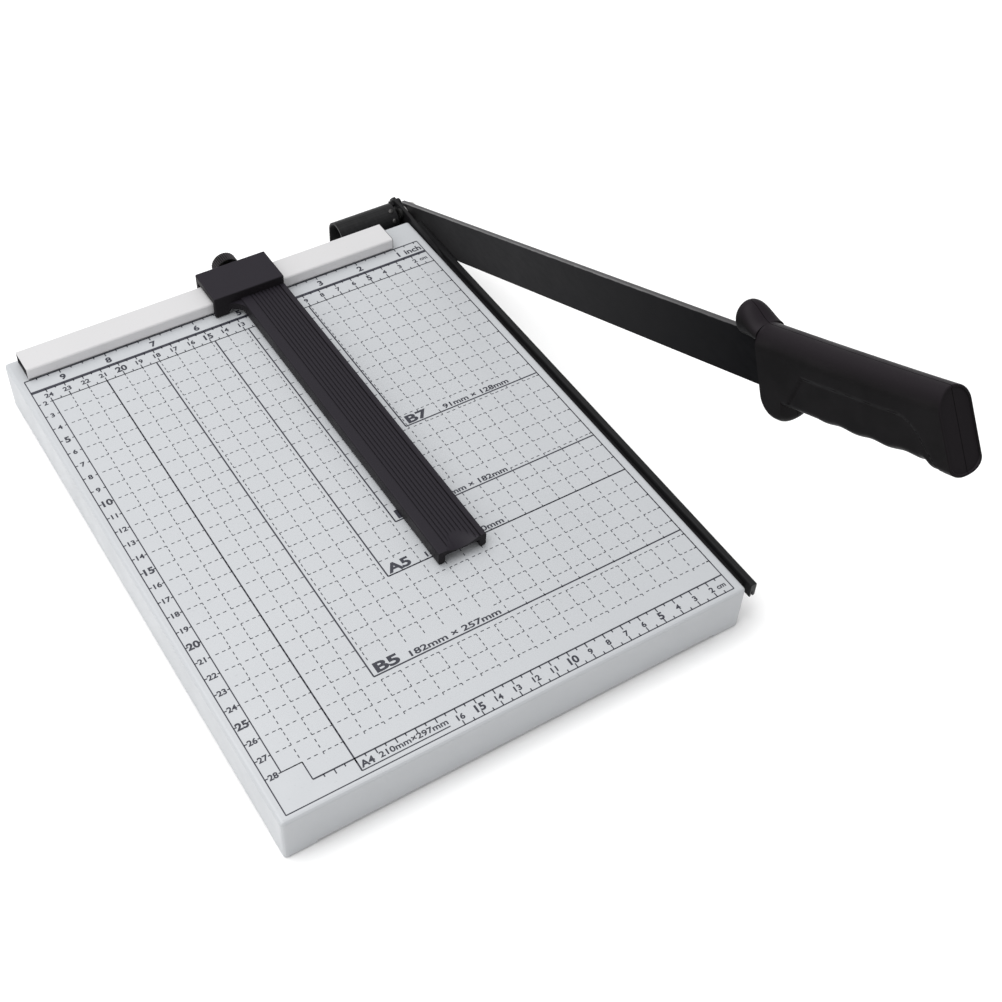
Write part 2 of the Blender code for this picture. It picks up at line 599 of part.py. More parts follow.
def handle_outline(along, steps=8):
    """The section at a distance from the pivot: a round top and a flatter round underside."""
    top = handle_top(along)
    if along < GUARD_START:
        pinch = NUB_ROUND - math.sqrt(NUB_ROUND**2 - max(HANDLE_START + NUB_ROUND - along, 0.0) ** 2)
        top, bottom = top - pinch, NUB_HEIGHT - NUB_RADIUS + pinch
        half_width = NUB_RADIUS - pinch
        crown = under = (top - bottom) / 2 - 0.05
    else:
        bottom = handle_bottom(along)
        narrowing = (HANDLE_HALF_WIDTH - END_HALF_WIDTH) * share(along, 400.0, HANDLE_END)
        half_width = HANDLE_HALF_WIDTH - narrowing
        crown, under = half_width, UNDER_ROUND
    corner = 0.5  # half of the flat strip along the underside
    across = half_width - corner
    return (
        arc((0, top - crown), half_width, 0, 180, steps, crown)
        + arc((-corner, bottom + under), across, 180, 270, steps // 2, under)
        + arc((corner, bottom + under), across, 270, 360, steps // 2, under)
    )


def handle_stations():
    """Distances from the pivot where the handle's sections are drawn."""
    nub = [HANDLE_START + part for part in (0.0, 0.3, 1.0, 2.0, 5.0, 7.5, 10.0)]
    rounds = (0.0, 0.6, 2.2, 4.5, LOBE_FRONT_ROUND)
    lobe = [GUARD_START - 0.01] + [GUARD_START + part for part in rounds]
    lobe += [LOBE_END - part for part in (LOBE_REAR_ROUND, 2.0, 0.7, 0.0)] + [LOBE_END + 0.6, 360.0]
    waves = 12
    pitch = (WAVE_END - WAVE_START) / waves
    grip = [WAVE_START + pitch * step for step in range(waves + 1)]
    heel = [HEEL_START, (HEEL_START + HEEL_END) / 2, HEEL_END, HANDLE_END]
    return nub + lobe + grip + heel


def handle_loft(name, parent, material):
    """Upright rounded sections joined along the handle."""
    shape = bmesh.new()
    rings = []
    for along in handle_stations():
        slant = END_SLANT * share(along, 425.0, HANDLE_END)
        ring = []
        for across, up in handle_outline(along):
            place = (HANDLE_MIDDLE + across, -along + slant * (up + 5.0), up)
            ring.append(shape.verts.new(place))
        rings.append(ring)
    for ring, following in zip(rings, rings[1:]):
        for number in range(len(ring)):
            after = (number + 1) % len(ring)
            shape.faces.new((ring[number], ring[after], following[after], following[number]))
    shape.faces.new(rings[0])
    shape.faces.new(rings[-1])
    return add(name, mesh_from(name, shape), parent, material)


def make_handle():
    seam = GAP / 2
    reach = 40.0
    slot_low = (BLADE_INNER - GAP, -TANG_START - GAP, BLADE_EDGE - GAP)
    slot_high = (BLADE_OUTER + GAP, -HANDLE_START + 5, BLADE_TOP + GAP)
    tang_low = (BLADE_INNER - GAP, -TANG_END - GAP, TANG_BOTTOM - GAP)
    tang_high = (BLADE_OUTER + GAP, -TANG_START + 5, TANG_TOP + GAP)
    for side, left, right in (
        ("left", HANDLE_MIDDLE - reach, HANDLE_MIDDLE - seam),
        ("right", HANDLE_MIDDLE + seam, HANDLE_MIDDLE + reach),
    ):
        shell = handle_loft(f"handle_{side}_shell", ARM, BLACK_PLASTIC)
        half = box(f"handle_{side}_half", (left, -480, -60), (right, -290, 60), ARM)
        cut(shell, half, operation="INTERSECT")
        cut(
            shell,
            box(f"blade_slot_{side}", slot_low, slot_high, ARM),
            box(f"tang_slot_{side}", tang_low, tang_high, ARM),
        )
        for number, along in enumerate(HANDLE_SCREWS):
            shank = (-1.2, -along, HANDLE_SCREW_HEIGHT), (20, -along, HANDLE_SCREW_HEIGHT)
            cut(shell, rod(f"handle_hole_{side}_{number}", *shank, 1.5 + GAP, ARM, None, 16))
            if side == "right":
                seat = (HANDLE_SCREW_SEAT, *shank[1][1:])
                cut(shell, rod(f"handle_sink_{number}", seat, shank[1], 3.4, ARM, None, 16))
        smooth(shell)
    profile = ((0, 2.0), (1.8, 1.8), (3.0, 0.8), (3.0, 0), (1.5, 0), (1.5, -11.5), (0, -11.5))
    for number, along in enumerate(HANDLE_SCREWS, 1):
        place = (HANDLE_SCREW_SEAT + GAP, -along, HANDLE_SCREW_HEIGHT)
        smooth(turned(f"handle_screw_{number}", profile, place, (1, 0, 0), ARM, BARE_STEEL, 16))


# ---- the side gauge

def make_side_gauge():
    head_outline = (
        [(HEAD_FRONT, GAP), (HEAD_FRONT, HEAD_TOP), (HEAD_BACK, HEAD_TOP), (HEAD_BACK, GAP)]
        + [(HEAD_BACK - HEAD_SKIRT, GAP), (HEAD_BACK - HEAD_SKIRT, HEAD_ROOF)]
        + [(HEAD_FRONT + HEAD_SKIRT, HEAD_ROOF), (HEAD_FRONT + HEAD_SKIRT, GAP)]
    )
    gauge = prism("side_gauge", head_outline, "X", GAUGE_LEFT, GAUGE_RIGHT, SLIDE, BLACK_PLASTIC)
    pitch = (GROOVES_RIGHT - GROOVES_LEFT) / (GROOVE_COUNT - 1)
    top = [(ARM_LEFT, ARM_TOP)]
    for number in range(GROOVE_COUNT):
        middle = GROOVES_LEFT + pitch * number
        half, depth = GROOVE_WIDTH / 2, GROOVE_DEPTH
        if number == GROOVE_COUNT - 1:
            depth = GROOVE_DEPTH * 1.6
        top += [(middle - half, ARM_TOP), (middle - half * 0.6, ARM_TOP - depth)]
        top += [(middle + half * 0.6, ARM_TOP - depth), (middle + half, ARM_TOP)]
    roof = ARM_TOP - ARM_ROOF
    arm_outline = (
        [(ARM_LEFT, GAP)] + top + [(GAUGE_RIGHT, ARM_TOP), (GAUGE_RIGHT, GAP)]
        + [(GAUGE_RIGHT - ARM_WALL, GAP), (GAUGE_RIGHT - ARM_WALL, roof)]
        + [(ARM_LEFT + ARM_WALL, roof), (ARM_LEFT + ARM_WALL, GAP)]
    )
    arm = prism("gauge_arm", arm_outline, "Y", ARM_FRONT, HEAD_FRONT + 1.0, SLIDE)
    radius = 9.0
    corner = (ARM_LEFT - radius, HEAD_FRONT - radius)
    gusset = (
        arc(corner, radius, 0, 90, 8)
        + [(ARM_LEFT - radius, HEAD_FRONT + 1), (ARM_LEFT + 2, HEAD_FRONT + 1), (ARM_LEFT + 2, corner[1])]
    )
    gusset = prism("gauge_gusset", gusset, "Z", SKIRT_ARCH_TOP, ARM_TOP - 0.4, SLIDE)
    arch = (
        [(SKIRT_ARCH_LEFT, -1.0), (SKIRT_ARCH_LEFT, GAP)]
        + arc((SKIRT_ARCH_LEFT + SKIRT_ARCH_TOP - GAP, GAP), SKIRT_ARCH_TOP - GAP, 180, 90, 4)[1:]
        + [(ARM_LEFT, SKIRT_ARCH_TOP), (ARM_LEFT, -1.0)]
    )
    arch = prism("skirt_arch", arch, "Y", HEAD_FRONT - 1, HEAD_FRONT + HEAD_SKIRT + 1, SLIDE)
    cut(gauge, arch)
    cut(gauge, arm, gusset, operation="UNION")
    cut(gauge, scoop_cutter(), stud_bore("gauge_stud_bore", INSERT_RADIUS + GAP))
    return smooth(gauge, 25)


def scoop_cutter():
    """A slanted cylinder that dishes the end of the arm."""
    radius = ((SCOOP_WIDTH / 2) ** 2 + SCOOP_DEPTH**2) / (2 * SCOOP_DEPTH)
    slant = math.atan2(SCOOP_DEPTH, SCOOP_LENGTH)
    middle = (ARM_LEFT + GAUGE_RIGHT) / 2
    direction = Vector((0, math.cos(slant), math.sin(slant)))
    lift = radius / math.cos(slant)
    crest = Vector((middle, ARM_FRONT + SCOOP_LENGTH, ARM_TOP + lift))
    return rod("arm_scoop", crest - direction * 60, crest + direction * 25, radius, SLIDE, None, 48)


def stud_bore(name, radius):
    ends = (STUD_X, HEAD_BACK - 6, STUD_Z), (STUD_X, HEAD_BACK + 3, STUD_Z)
    return rod(name, *ends, radius, SLIDE)


def make_thumb_screw():
    insert = rod(
        "threaded_insert", (STUD_X, HEAD_BACK - HEAD_SKIRT, STUD_Z), (STUD_X, HEAD_BACK, STUD_Z),
        INSERT_RADIUS, SLIDE, BRASS,
    )
    cut(insert, stud_bore("insert_bore", STUD_RADIUS + GAP))
    tip = RAIL_DEPTH + GAP
    end = KNOB_BACK - 1.5
    run = end - tip
    profile = ((0, run), (STUD_RADIUS, run), (STUD_RADIUS, 1.2), (1.3, 0), (0, 0))
    smooth(turned("thumb_stud", profile, (STUD_X, tip, STUD_Z), (0, 1, 0), SLIDE, BARE_STEEL))
    shape = bmesh.new()
    bmesh.ops.create_cone(
        shape, cap_ends=True, segments=KNURLS * 2, radius1=KNOB_RADIUS, radius2=KNOB_RADIUS,
        depth=KNOB_BACK - KNOB_FRONT, matrix=Matrix.Rotation(math.pi / 2, 4, "X"),
    )
    spokes = sorted(shape.verts, key=lambda vert: math.atan2(vert.co.z, vert.co.x))
    for number, vert in enumerate(spokes):
        if number // 2 % 2:
            vert.co.x *= KNURL_FLOOR
            vert.co.z *= KNURL_FLOOR
    place = (STUD_X, (KNOB_FRONT + KNOB_BACK) / 2, STUD_Z)
    knob = add("thumb_knob", mesh_from("thumb_knob", shape), SLIDE, BLACK_PLASTIC, place)
    ends = (STUD_X, KNOB_FRONT - 2, STUD_Z), (STUD_X, end + GAP, STUD_Z)
    cut(knob, rod("knob_bore", *ends, STUD_RADIUS + GAP, SLIDE))


clear_scene()
PARTS = new_collection("paper_cutter")
CUTTERS = new_collection("cutters")
PALE_PAINT = new_material("pale_paint", (0.62, 0.64, 0.65), 0.42, 0.0)
BLACK_STEEL = new_material("black_steel", (0.012, 0.012, 0.014), 0.35, 0.6)
BLACK_CAST = new_material("black_cast", (0.02, 0.02, 0.02), 0.55, 0.4)
BLACK_PLASTIC = new_material("black_plastic", (0.016, 0.015, 0.016), 0.45, 0.0)
BARE_STEEL = new_material("bare_steel", (0.55, 0.55, 0.54), 0.32, 1.0)
BRASS = new_material("brass", (0.62, 0.45, 0.18), 0.3, 1.0)
RUBBER = new_material("rubber", (0.03, 0.03, 0.03), 0.8, 0.0)

FRAME = new_empty("cutter_frame", None, CUTTING_LINE)
ARM = new_empty("arm_pivot", FRAME, (0, PIVOT_Y, PIVOT_Z))
ARM.rotation_euler = (-math.radians(REST_ANGLE), 0, 0)
SLIDE = new_empty("gauge_slide", FRAME)

make_base_pan()
make_feet()
make_fence_rail()
make_bed_knife()
make_hinge()
make_friction_spring()
make_blade()
make_pivot_bolt()
make_handle()
make_side_gauge()
make_thumb_screw()
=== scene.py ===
"""Guillotine paper cutter: the looks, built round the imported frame.

Lengths are metres. MM turns a length in millimetres into metres. Places come from the frame's
nodes: the cutting line and the front of the fence rail are the rulers' two zero lines.
"""

import json
import math

import bmesh
import bpy
from mathutils import Euler, Matrix, Vector


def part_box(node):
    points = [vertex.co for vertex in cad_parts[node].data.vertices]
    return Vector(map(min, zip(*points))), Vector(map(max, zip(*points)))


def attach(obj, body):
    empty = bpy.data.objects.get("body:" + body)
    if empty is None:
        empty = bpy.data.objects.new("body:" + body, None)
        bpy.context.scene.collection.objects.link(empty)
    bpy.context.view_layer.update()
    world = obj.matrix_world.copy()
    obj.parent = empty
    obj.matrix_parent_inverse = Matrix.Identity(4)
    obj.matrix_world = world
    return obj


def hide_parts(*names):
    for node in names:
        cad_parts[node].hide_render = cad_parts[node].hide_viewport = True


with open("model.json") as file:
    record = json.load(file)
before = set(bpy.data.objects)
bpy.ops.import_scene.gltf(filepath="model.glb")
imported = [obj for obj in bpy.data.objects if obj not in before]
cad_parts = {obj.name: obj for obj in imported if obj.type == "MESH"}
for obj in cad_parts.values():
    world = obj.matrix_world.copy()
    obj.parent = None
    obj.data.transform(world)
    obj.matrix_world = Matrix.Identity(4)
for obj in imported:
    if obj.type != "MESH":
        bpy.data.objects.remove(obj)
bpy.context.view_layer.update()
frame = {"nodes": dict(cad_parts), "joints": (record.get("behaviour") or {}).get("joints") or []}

MM = 0.001
CM = 0.01
INCH = 2.54  # centimetres

# ---- places taken from the frame

PAN_HIGH = Vector(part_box("base_pan")[1])
RAIL_LOW, RAIL_HIGH = (Vector(corner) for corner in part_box("fence_rail"))
TOP = PAN_HIGH.z
CUT_X = PAN_HIGH.x + 4.8 * MM  # where the blade cuts
FENCE_Y = RAIL_LOW.y  # where the paper is squared
PIVOT = Vector(next(joint for joint in frame["joints"] if joint["name"] == "arm_hinge")["pos_m"])
REST_ANGLE = math.radians(23.68)
ARM_SPACE = Matrix.Translation((CUT_X, PIVOT.y, PIVOT.z)) @ Matrix.Rotation(-REST_ANGLE, 4, "X")
TABLE_SPACE = Matrix.Translation((CUT_X, FENCE_Y, TOP))


# ---- camera, lights and floor

def make_camera():
    data = bpy.data.cameras.new("camera")
    data.sensor_width = 36.0
    data.lens = 54.87
    camera = bpy.data.objects.new("camera", data)
    camera.location = (CUT_X - 0.3653, FENCE_Y - 0.6109, TOP + 0.5656)
    camera.rotation_euler = Euler([math.radians(turn) for turn in (41.725, -2.281, -32.349)])
    bpy.context.scene.collection.objects.link(camera)
    bpy.context.scene.camera = camera


def area_light(name, place, target, size, power):
    data = bpy.data.lights.new(name, "AREA")
    data.shape = "RECTANGLE"
    data.size, data.size_y = size
    data.energy = power
    light = bpy.data.objects.new(name, data)
    light.location = place
    light.rotation_euler = (Vector(target) - Vector(place)).to_track_quat("-Z", "Y").to_euler()
    bpy.context.scene.collection.objects.link(light)


def make_studio():
    scene = bpy.context.scene
    scene.view_settings.view_transform = "Standard"
    world = bpy.data.worlds.new("studio")
    world.use_nodes = True
    world.node_tree.nodes["Background"].inputs["Color"].default_value = (1.0, 1.0, 1.0, 1.0)
    world.node_tree.nodes["Background"].inputs["Strength"].default_value = 0.71
    scene.world = world
    area_light("overhead", (-0.35, 0.35, 1.5), (0.0, 0.0, 0.0), (1.6, 1.2), 22.0)
    area_light("left_fill", (-1.4, -0.2, 0.8), (0.0, 0.0, 0.0), (1.0, 1.0), 5.0)
    floor_mesh = bpy.data.meshes.new("floor")
    half = 6.0
    corners = [(-half, -half, 0), (half, -half, 0), (half, half, 0), (-half, half, 0)]
    floor_mesh.from_pydata(corners, [], [(0, 1, 2, 3)])
    floor = bpy.data.objects.new("floor", floor_mesh)
    floor.data.materials.append(floor_material())
    scene.collection.objects.link(floor)


# ---- materials

class Nodes:
    """A material's node tree, with short calls for the nodes used here."""

    def __init__(self, name):
        self.material = bpy.data.materials.new(name)
        self.material.use_nodes = True
        self.tree = self.material.node_tree
        self.shader = self.tree.nodes["Principled BSDF"]
        self.place = self.tree.nodes.new("ShaderNodeTexCoord").outputs["Object"]

    def link(self, source, target):
        self.tree.links.new(source, target)

    def noise(self, size, detail=3.0, roughness=0.5, stretch=None):
        """Noise whose grains are about this many metres."""
        node = self.tree.nodes.new("ShaderNodeTexNoise")
        node.inputs["Scale"].default_value = 1.0 / size
        node.inputs["Detail"].default_value = detail
        node.inputs["Roughness"].default_value = roughness
        place = self.place
        if stretch:
            mapping = self.tree.nodes.new("ShaderNodeMapping")
            mapping.inputs["Scale"].default_value = stretch
            self.link(place, mapping.inputs["Vector"])
            place = mapping.outputs["Vector"]
        self.link(place, node.inputs["Vector"])
        return node.outputs["Fac"]

    def ramp(self, value, low, high, start=0.0, end=1.0):
        """A value stretched from one range onto another, and held there."""
        node = self.tree.nodes.new("ShaderNodeMapRange")
        node.inputs["From Min"].default_value = start
        node.inputs["From Max"].default_value = end
        node.inputs["To Min"].default_value = low
        node.inputs["To Max"].default_value = high
        self.link(value, node.inputs["Value"])
        return node.outputs["Result"]

    def math(self, operation, first, second=None):
        node = self.tree.nodes.new("ShaderNodeMath")
        node.operation = operation
        for socket, value in zip(node.inputs, (first, second)):
            if value is None:
                continue
            if isinstance(value, (int, float)):
                socket.default_value = value
            else:
                self.link(value, socket)
        return node.outputs["Value"]

    def mix(self, factor, first, second):
        node = self.tree.nodes.new("ShaderNodeMix")
        node.data_type = "RGBA"
        self.link(factor, node.inputs["Factor"])
        for socket, value in ((node.inputs["A"], first), (node.inputs["B"], second)):
            if isinstance(value, tuple):
                socket.default_value = (*value, 1.0)
            else:
                self.link(value, socket)
        return node.outputs["Result"]

    def split(self, vector):
        """A vector's three parts, by axis letter."""
        node = self.tree.nodes.new("ShaderNodeSeparateXYZ")
        self.link(vector, node.inputs["Vector"])
        return node.outputs

    def along(self, axis, zero, low, high, start, end):
        """A value that follows one of the object's axes, from start to end past a zero."""
        return self.ramp(self.split(self.place)[axis], low, high, zero + start, zero + end)

    def inside(self, low, high, soft):
        """1 inside a box of the object's space and 0 outside it."""
        value = 1.0
        for axis, start, end in zip("XYZ", low, high):
            value = self.math("MULTIPLY", self.along(axis, start, 0.0, 1.0, 0.0, soft), value)
            value = self.math("MULTIPLY", self.along(axis, end, 1.0, 0.0, -soft, 0.0), value)
        return value

    def upward(self):
        """1 on faces that look up and 0 on vertical ones."""
        normal = self.tree.nodes.new("ShaderNodeNewGeometry").outputs["Normal"]
        return self.ramp(self.split(normal)["Z"], 0.0, 1.0, 0.2, 0.9)

    def bump(self, height, strength, distance):
        node = self.tree.nodes.new("ShaderNodeBump")
        node.inputs["Strength"].default_value = strength
        node.inputs["Distance"].default_value = distance
        self.link(height, node.inputs["Height"])
        self.link(node.outputs["Normal"], self.shader.inputs["Normal"])

    def set(self, **values):
        for name, value in values.items():
            socket = self.shader.inputs[name.replace("_", " ")]
            if isinstance(value, tuple):
                socket.default_value = (*value, 1.0)
            elif isinstance(value, (int, float)):
                socket.default_value = value
            else:
                self.link(value, socket)


def floor_material():
    nodes = Nodes("floor")
    tone = nodes.ramp(nodes.noise(0.4), 0.0, 1.0, 0.3, 0.7)
    nodes.set(Base_Color=nodes.mix(tone, (0.95, 0.95, 0.95), (0.97, 0.97, 0.97)), Roughness=0.6)
    return nodes.material


def painted(name, colour, shade, roughness=0.42, coat=0.08, upright_light=1.0, shade_boxes=()):
    """Powder coat: a fine orange peel, a faint drift in tone, and dull and bright patches.

    Faces that don't look up have their colour times upright: painted light that makes the walls lighter or
    darker than the tops.
    The shade boxes are boxes of the object's space painted dark, as painted shade.
    """
    nodes = Nodes(name)
    drift = nodes.ramp(nodes.noise(0.09, 2.0), 0.0, 1.0, 0.3, 0.7)
    speck = nodes.ramp(nodes.noise(0.0012, 2.0), 0.0, 1.0, 0.66, 0.75)
    tone = nodes.mix(drift, colour, shade)
    tone = nodes.mix(speck, tone, tuple(part * 0.94 for part in shade))
    # Painted light: faces that don't look up take the colour times upright, lighter on the rail's walls and
    # darker on the pan's.
    tone = nodes.mix(nodes.upward(), tuple(part * upright_light for part in colour), tone)
    # Painted shade: each box is darkened to a near black.
    for low, high in shade_boxes:
        tone = nodes.mix(nodes.inside(low, high, 0.0003), tone, (0.03, 0.03, 0.032))
    nodes.set(
        Base_Color=tone,
        Roughness=nodes.ramp(nodes.noise(0.02, 4.0), roughness - 0.06, roughness + 0.08, 0.3, 0.7),
        Coat_Weight=coat, Coat_Roughness=0.3,
    )
    nodes.bump(nodes.noise(0.0016, 3.0), 0.25, 0.00006)
    return nodes.material


def moulded(name, colour, shade, dust_and_painted_light, roughness, specular):
    """Moulded plastic: spark-eroded grain, patches worn brighter by rubbing, dust specks, and a lighter
    colour on what faces up, which is painted light on the tops along with some dust.
    """
    nodes = Nodes(name)
    worn = nodes.ramp(nodes.noise(0.018, 4.0, 0.6), 0.0, 1.0, 0.35, 0.7)
    dust = nodes.ramp(nodes.noise(0.0011, 3.0, 0.7), 0.0, 1.0, 0.70, 0.78)
    # Painted light: faces that look up take the lighter colour, standing in for the tops catching more
    # light, with some dust.
    tone = nodes.mix(nodes.upward(), nodes.mix(worn, colour, shade), dust_and_painted_light)
    nodes.set(
        Base_Color=nodes.mix(dust, tone, tuple(part * 1.5 + 0.004 for part in dust_and_painted_light)),
        Roughness=nodes.ramp(worn, roughness + 0.07, roughness - 0.06),
        Specular_IOR_Level=specular,
    )
    nodes.bump(nodes.noise(0.0005, 3.0, 0.6), 0.35, 0.00004)
    return nodes.material


def knurled(name, centre, floor, crest):
    """Moulded plastic round an axis along Y, painted dark in the knurls' grooves and on the faces inside
    them as painted shade, and lighter on their crests as a painted highlight.
    """
    nodes = Nodes(name)
    spot = nodes.split(nodes.place)
    across = nodes.math("SUBTRACT", spot["X"], centre.x)
    rise = nodes.math("SUBTRACT", spot["Z"], centre.z)
    square = nodes.math("ADD", nodes.math("MULTIPLY", across, across), nodes.math("MULTIPLY", rise, rise))
    # Painted shade and highlight: dark inside the knurls' floor radius, lighter out to their crests.
    crest_highlight = nodes.ramp(nodes.math("SQRT", square), 0.0, 1.0, floor, crest)
    nodes.set(
        Base_Color=nodes.mix(crest_highlight, (0.002, 0.002, 0.002), (0.045, 0.040, 0.044)),
        Roughness=nodes.ramp(nodes.noise(0.004, 3.0), 0.40, 0.55, 0.3, 0.7),
        Specular_IOR_Level=0.15,
    )
    nodes.bump(nodes.noise(0.0005, 3.0, 0.6), 0.35, 0.00004)
    return nodes.material


def black_paint(name, colour, roughness):
    """Thin black paint on rolled steel, with faint drawn lines and a few chips that show the metal."""
    nodes = Nodes(name)
    lines = nodes.noise(0.0014, 4.0, 0.6, (1.0, 0.08, 1.0))
    chips = nodes.ramp(nodes.noise(0.0016, 5.0, 0.75), 0.0, 1.0, 0.765, 0.78)
    streaks = nodes.ramp(lines, 0.0, 1.0, 0.35, 0.65)
    tone = nodes.mix(streaks, colour, tuple(part * 1.6 for part in colour))
    nodes.set(
        Base_Color=nodes.mix(chips, tone, (0.22, 0.21, 0.20)),
        Roughness=nodes.ramp(lines, roughness - 0.07, roughness + 0.10, 0.3, 0.7),
        Metallic=nodes.math("MULTIPLY", chips, 0.8),
        Specular_IOR_Level=0.16,
    )
    nodes.bump(lines, 0.2, 0.00005)
    return nodes.material


def blade_paint():
    """The blade's satin black paint, worn through to bare steel along its top edge. The paint is lighter
    towards the hinge and darker towards the handle, as a painted reflection.
    """
    nodes = Nodes("blade_paint")
    spot = nodes.split(nodes.place)
    back = nodes.math("MULTIPLY", nodes.math("SUBTRACT", spot["Y"], PIVOT.y), math.sin(REST_ANGLE))
    rise = nodes.math("MULTIPLY", nodes.math("SUBTRACT", spot["Z"], PIVOT.z), math.cos(REST_ANGLE))
    height = nodes.math("ADD", back, rise)  # above the pivot, square to the blade
    grain = nodes.noise(0.0011, 4.0, 0.65, (1.0, 0.12, 0.4))
    fray = nodes.math("MULTIPLY", nodes.math("SUBTRACT", grain, 0.5), 0.0006)
    worn_height = nodes.math("ADD", height, fray)
    bare = nodes.ramp(worn_height, 0.0, 1.0, BLADE_TOP - 0.35 * MM, BLADE_TOP - 0.15 * MM)
    chips = nodes.ramp(nodes.noise(0.0017, 5.0, 0.75), 0.0, 1.0, 0.745, 0.76)
    streaks = nodes.ramp(grain, 0.0, 1.0, 0.35, 0.65)
    worn = nodes.mix(streaks, (0.10, 0.098, 0.10), (0.19, 0.187, 0.19))
    dull = nodes.mix(streaks, (0.05, 0.048, 0.05), (0.09, 0.087, 0.09))
    bright = nodes.mix(nodes.along("X", CUT_X, 0.0, 1.0, 2.5 * MM, 3.0 * MM), worn, dull)
    steel = nodes.mix(nodes.along("Y", PIVOT.y, 0.0, 1.0, -0.30, -0.20), (0.06, 0.058, 0.06), bright)
    # Painted reflection: the paint is lighter near the hinge and darker towards the handle.
    dust_and_painted_light = nodes.mix(nodes.noise(0.02, 5.0, 0.7), (0.016, 0.016, 0.017), (0.027, 0.026, 0.027))
    dim_paint = nodes.mix(streaks, (0.0015, 0.0015, 0.002), (0.004, 0.004, 0.0045))
    paint = nodes.mix(nodes.along("Y", PIVOT.y, 0.0, 1.0, -0.30, -0.12), dim_paint, dust_and_painted_light)
    metal = nodes.math("MAXIMUM", bare, nodes.math("MULTIPLY", chips, 0.7))
    nodes.set(
        Base_Color=nodes.mix(metal, paint, steel),
        Roughness=nodes.ramp(grain, 0.34, 0.50, 0.3, 0.7),
        Metallic=nodes.math("MULTIPLY", metal, 0.5),
        Specular_IOR_Level=0.03,
    )
    nodes.bump(grain, 0.2, 0.00005)
    return nodes.material


def metal(name, colour, shade, roughness):
    """Plated or turned metal with fine turning lines and a little tarnish."""
    nodes = Nodes(name)
    lines = nodes.noise(0.0007, 4.0, 0.6)
    stain = nodes.ramp(nodes.noise(0.004, 3.0), 0.0, 1.0, 0.4, 0.75)
    nodes.set(
        Base_Color=nodes.mix(stain, colour, shade), Metallic=1.0,
        Roughness=nodes.ramp(lines, roughness - 0.08, roughness + 0.12, 0.3, 0.7),
    )
    nodes.bump(lines, 0.15, 0.00003)
    return nodes.material


def rubber_material():
    nodes = Nodes("rubber")
    bloom = nodes.ramp(nodes.noise(0.003, 4.0), 0.0, 1.0, 0.4, 0.7)
    nodes.set(
        Base_Color=nodes.mix(bloom, (0.018, 0.018, 0.018), (0.035, 0.035, 0.034)),
        Roughness=nodes.ramp(bloom, 0.72, 0.88),
    )
    nodes.bump(nodes.noise(0.0004, 2.0), 0.3, 0.00004)
    return nodes.material


def ink_material():
    """Screen-printed ink, a little thin in places."""
    nodes = Nodes("ruler_ink")
    thin = nodes.ramp(nodes.noise(0.0009, 3.0, 0.6), 0.0, 1.0, 0.62, 0.8)
    nodes.set(Base_Color=nodes.mix(thin, (0.016, 0.017, 0.028), (0.06, 0.06, 0.08)), Roughness=0.6)
    return nodes.material


# ---- making pieces

def new_piece(name, mesh, body, material, replaces=()):
    piece = bpy.data.objects.new(name, mesh)
    piece.data.materials.clear()
    piece.data.materials.append(material)
    bpy.context.scene.collection.objects.link(piece)
    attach(piece, body)
    if replaces:
        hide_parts(*replaces)
    return piece


def mesh_of(name, shape):
    mesh = bpy.data.meshes.new(name)
    shape.to_mesh(mesh)
    shape.free()
    return mesh


SHARP_ANGLE = math.radians(32.0)


def smooth_group():
    """A modifier's node group that shades smooth and keeps edges over the sharp angle crisp."""
    group = bpy.data.node_groups.new("smooth_by_angle", "GeometryNodeTree")
    group.interface.new_socket("Geometry", in_out="INPUT", socket_type="NodeSocketGeometry")
    group.interface.new_socket("Geometry", in_out="OUTPUT", socket_type="NodeSocketGeometry")
    nodes, links = group.nodes, group.links
    start, end = nodes.new("NodeGroupInput"), nodes.new("NodeGroupOutput")
    angle = nodes.new("GeometryNodeInputMeshEdgeAngle")
    flat = nodes.new("FunctionNodeCompare")
    flat.operation = "LESS_THAN"
    flat.inputs["B"].default_value = SHARP_ANGLE
    faces = nodes.new("GeometryNodeSetShadeSmooth")
    edges = nodes.new("GeometryNodeSetShadeSmooth")
    edges.domain = "EDGE"
    links.new(start.outputs[0], faces.inputs["Geometry"])
    links.new(faces.outputs[0], edges.inputs["Geometry"])
    links.new(angle.outputs["Unsigned Angle"], flat.inputs["A"])
    links.new(flat.outputs[0], edges.inputs["Shade Smooth"])
    links.new(edges.outputs[0], end.inputs[0])
    return group


def shade(piece, bevel=0.0):
    """Rounded edges, then smooth shading between them."""
    if bevel:
        edge = piece.modifiers.new("Edges", "BEVEL")
        edge.width = bevel
        edge.segments = 2
        edge.limit_method = "ANGLE"
        edge.angle_limit = SHARP_ANGLE
    smoothing = piece.modifiers.new("Smooth", "NODES")
    smoothing.node_group = SMOOTH
    normals = piece.modifiers.new("Normals", "WEIGHTED_NORMAL")
    normals.keep_sharp = True


def dress(node, material, bevel=0.0):
    """A node of the frame with its finished material."""
    piece = frame["nodes"][node]
    piece.data.materials.clear()
    piece.data.materials.append(material)
    shade(piece, bevel)


# ---- the printed table

INK_LOW, INK_HIGH = 0.02 * MM, 0.06 * MM
DASH, THIN, MIDDLE, THICK = 0.42 * MM, 0.56 * MM, 0.76 * MM, 1.9 * MM
LEFT_BORDER, RIGHT_BORDER, BOTTOM_BORDER = 24.77, 1.01, 29.97
DASH_HALF, CORNER_STROKE = 0.085, 0.13
CAPITAL = 0.73  # a capital's height as a part of the font's size
LETTER_WIDTH = 1.12
NAME_HEIGHT, NAME_LENGTH = 0.56, 1.25
SIZE_HEIGHT, ABOVE_LINE = 0.33, 0.12


def place(u, v):
    """A printed point: u centimetres left of the cutting line, v centimetres in front of the fence."""
    return CUT_X - u * CM, FENCE_Y - v * CM


